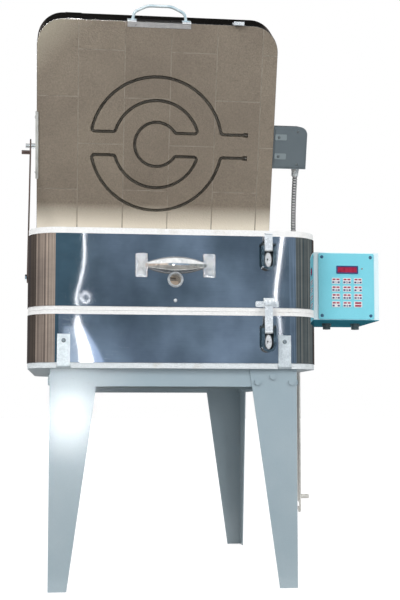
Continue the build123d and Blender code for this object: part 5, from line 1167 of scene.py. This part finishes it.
@dataclass
class Studio:
    """Floor, background, room, lamps and camera."""

    camera_place: Point = (-0.2093, -2.517, -0.1498)
    pitch: float = math.radians(94.33)
    yaw: float = math.radians(-6.76)
    lens: float = 66.4
    shift: Pair = (-0.0032, 0.0458)
    sky: float = 0.8
    sky_tint: Colour = (0.97, 0.98, 1.0)
    floor_size: float = 60.0
    floor_drop: float = 0.0005
    floor_tone: float = 0.36
    floor_glow: float = 0.84
    lamps: tuple[Lamp, ...] = (
        Lamp("key", (-1.9, -2.9, 2.1), (0.0, 0.0, 0.3), 1.4, 62.0),
        Lamp("fill", (2.4, -2.4, 1.2), (0.0, 0.0, 0.2), 1.6, 30.0),
    )
    walls: tuple[Wall, ...] = (
        Wall("wall_front", (0.0, MIRROR_Y - 0.1, 0.36), 0.0, (7.4, 1.82),
            (0.1, 0.155, 0.2), (0.33, 0.45, 0.6), 5.0, 0.9, 0.2),
        Wall("wall_corner", (-2.45, MIRROR_Y - 0.08, 0.36), 0.0, (2.5, 1.82),
            (0.4, 0.32, 0.25), (0.96, 0.79, 0.65), 3.0, 0.02, 0.12),
        Wall("wall_shade", (-0.81, MIRROR_Y - 0.07, 0.36), 0.0, (0.98, 1.82),
            (0.09, 0.165, 0.225), (0.105, 0.2, 0.265), 3.0, 0.1, 0.12),
        Wall("wall_left_rear", (-3.6, 1.15, 0.36), 90.0, (2.5, 1.82),
            (0.05, 0.045, 0.045), (0.24, 0.19, 0.15), 3.0, 0.02, 0.12),
        Wall("wall_left", (-3.65, -1.2, 0.36), 90.0, (7.2, 1.82),
            (0.1, 0.08, 0.075), (1.0, 0.8, 0.64), 2.4, 0.02, 0.12),
        Wall("wall_right", (3.65, -1.2, 0.36), -90.0, (7.2, 1.82),
            (0.05, 0.09, 0.11), (0.34, 0.35, 0.32), 4.0, 0.02, 0.1),
        Wall("wall_back", (0.0, 2.4, 0.8), 180.0, (7.4, 2.7),
            (0.05, 0.045, 0.05), (0.16, 0.135, 0.12), 6.0),
        Wall("ceiling_back", (0.0, 2.6, 3.6), 0.0, (7.0, 6.4),
            (0.018, 0.017, 0.016), (0.024, 0.023, 0.022), 1.0, tilt=0.0),
        Wall("ground_front", (0.0, -2.45, GROUND_Z + 0.004), 0.0, (7.0, 4.1),
            (0.24, 0.232, 0.215), (0.34, 0.33, 0.305), 2.0, 1.0, tilt=0.0),
    )
    glints: tuple[Glint, ...] = (
        Glint("glint_left", ((-0.184, 0.219), (-0.183, 0.158), (-0.189, 0.119), (-0.199, 0.077),
            (-0.193, 0.056)), (0.0009, 0.0013), 6.5),
        Glint("glint_curl", ((-0.17, 0.078), (-0.18, 0.088), (-0.19, 0.078), (-0.18, 0.067),
            (-0.171, 0.074)), (0.0009, 0.0009), 6.5),
        Glint("glint_flare", ((-0.196, 0.042), (-0.195, 0.02), (-0.183, -0.024), (-0.176, -0.07)),
            (0.002, 0.015), 5.0),
        Glint("glint_halo", ((-0.188, 0.02), (-0.172, -0.03), (-0.166, -0.07)),
            (0.004, 0.03), 1.3, -0.05, (0.55, 0.72, 1.0)),
        Glint("dark_left", ((-0.2172, 0.225), (-0.2184, 0.158), (-0.2195, 0.119), (-0.2206, 0.077),
            (-0.2217, 0.05)), (0.0328, 0.0283), 1.0, -0.05, (0.096, 0.182, 0.245)),
        Glint("base_halo", ((-0.212, 0.02), (-0.21, -0.03), (-0.208, -0.075)), (0.012, 0.016),
            1.5, -0.06, (0.46, 0.58, 0.72)),
        Glint("glint_right", ((0.221, 0.215), (0.213, 0.156), (0.205, 0.095), (0.206, 0.06)),
            (0.0017, 0.0012), 8.0),
        Glint("glint_base", ((0.211, 0.046), (0.214, 0.02), (0.214, -0.005)), (0.001, 0.001), 6.0),
        Glint("glint_leg", ((-0.213, -0.118), (-0.212, -0.16), (-0.213, -0.202)), (0.02, 0.02), 125.0),
    )

    def eye(self) -> None:
        """Camera at the photograph's place."""
        data = bpy.data.cameras.new("photo_camera")
        data.sensor_width = 36.0
        data.lens = self.lens
        data.shift_x, data.shift_y = self.shift
        camera = add_object("photo_camera", data)
        camera.location = self.camera_place
        camera.rotation_euler = (self.pitch, 0.0, self.yaw)
        bpy.context.scene.camera = camera

    def seen(self, graph: Graph) -> Socket:
        """Factor that is 1 for rays that show the background."""
        path = graph.node("ShaderNodeLightPath").outputs
        mirrored = graph.math("MAXIMUM", path["Is Camera Ray"], path["Is Glossy Ray"])
        return graph.math("MAXIMUM", mirrored, path["Is Transmission Ray"])

    def world(self) -> None:
        """White background that lights the object softly."""
        world = bpy.data.worlds.new("studio")
        world.use_nodes = True
        graph = Graph(world.node_tree)
        graph.tree.nodes.clear()
        lit = graph.node("ShaderNodeBackground", {"Color": self.sky_tint, "Strength": self.sky})
        shown = graph.node("ShaderNodeBackground", {"Color": (1.0, 1.0, 1.0), "Strength": 1.0})
        mix = graph.node("ShaderNodeMixShader",
                         {0: self.seen(graph), 1: lit.outputs[0], 2: shown.outputs[0]})
        graph.node("ShaderNodeOutputWorld", {"Surface": mix.outputs[0]})
        bpy.context.scene.world = world

    def floor(self) -> None:
        """Pale floor under the feet, white in view with the object's shadow on it."""
        place = (0.0, self.floor_size / 3, GROUND_Z - self.floor_drop)
        bpy.ops.mesh.primitive_plane_add(size=self.floor_size, location=place)
        floor = bpy.context.object
        floor.name = "studio_floor"
        bench = Bench("floor_white")
        bench.colour((self.floor_tone,) * 3)
        bench.plain(roughness=0.9, specular_ior_level=0.0)
        share = bench.math("MULTIPLY", self.seen(bench), self.floor_glow)
        glow = bench.node("ShaderNodeEmission", {"Color": (1.0, 1.0, 1.0), "Strength": share})
        total = bench.node("ShaderNodeAddShader", {0: bench.shader.outputs[0], 1: glow.outputs[0]})
        bench.feed(total.outputs[0], bench.output.inputs["Surface"])
        floor.data.materials.append(bench.material)

    def hide(self, card: Piece) -> None:
        """Let only polished surfaces show a card."""
        for ray in ("camera", "diffuse", "transmission", "volume_scatter", "shadow"):
            setattr(card, "visible_" + ray, False)

    def wall(self, wall: Wall) -> None:
        """Put up one wall of the room."""
        bpy.ops.mesh.primitive_plane_add(size=1.0, location=wall.place)
        card = bpy.context.object
        card.name = wall.name
        card.scale = (*wall.size, 1.0)
        card.rotation_euler = (math.radians(wall.tilt), 0.0, math.radians(wall.turn))
        card.data.materials.append(wall.make())
        self.hide(card)

    def mirrored(self, spot: Vector, back: float) -> Vector:
        """Place on the far card plane that a spot on the sheet shows.

        Args:
            spot: to the right and up on the sheet.
            back: shift of the card plane.

        Returns:
            The point whose reflection is seen there.
        """
        eye = Vector(self.camera_place)
        eye.y = 2 * FRONT_Y - eye.y
        place = Vector((spot.x, FRONT_Y, spot.y))
        return eye + (place - eye) * ((MIRROR_Y + back - eye.y) / (FRONT_Y - eye.y))

    def glint(self, glint: Glint) -> None:
        """Put up one bright strip.

        Args:
            glint: its spots and strength.
        """
        mesh = bpy.data.meshes.new(glint.name)
        points, faces = [], []
        spots = glint.line()
        last = len(spots) - 1
        for i, spot in enumerate(spots):
            way = (spots[min(i + 1, last)] - spots[max(i - 1, 0)]).normalized()
            half = glint.widths[0] + (glint.widths[1] - glint.widths[0]) * i / last
            side = Vector((way.y, -way.x)) * half
            points += [self.mirrored(spot - side, glint.back), self.mirrored(spot + side, glint.back)]
            if i < last:
                faces.append((2 * i, 2 * i + 1, 2 * i + 3, 2 * i + 2))
        mesh.from_pydata(points, [], faces)
        card = add_object(glint.name, mesh)
        card.data.materials.append(glint.make())
        self.hide(card)

    def light(self, lamp: Lamp) -> None:
        """Hang up a lamp that no polished surface shows."""
        data = bpy.data.lights.new(lamp.name, "AREA")
        data.size = lamp.size
        data.energy = lamp.power
        light = add_object(lamp.name, data)
        light.location = lamp.place
        way = Vector(lamp.target) - Vector(lamp.place)
        light.rotation_euler = way.to_track_quat("-Z", "Y").to_euler()
        light.visible_glossy = False

    def build(self) -> None:
        """Set everything up."""
        self.eye()
        self.world()
        self.floor()
        for wall in self.walls:
            self.wall(wall)
        for glint in self.glints:
            self.glint(glint)
        for lamp in self.lamps:
            self.light(lamp)
        log.info("studio is set")


def main() -> None:
    """Build the scene in order."""
    logging.basicConfig(level=logging.INFO, format="%(name)s %(message)s")
    bpy.context.scene.view_settings.view_transform = "Standard"
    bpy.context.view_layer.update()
    paint = Paintbox()
    paint.dress(frame["nodes"])
    Conduit(paint).build()
    Coils(paint).build()
    Legends(paint).build()
    Studio().build()


if __name__ == "__main__":
    main()
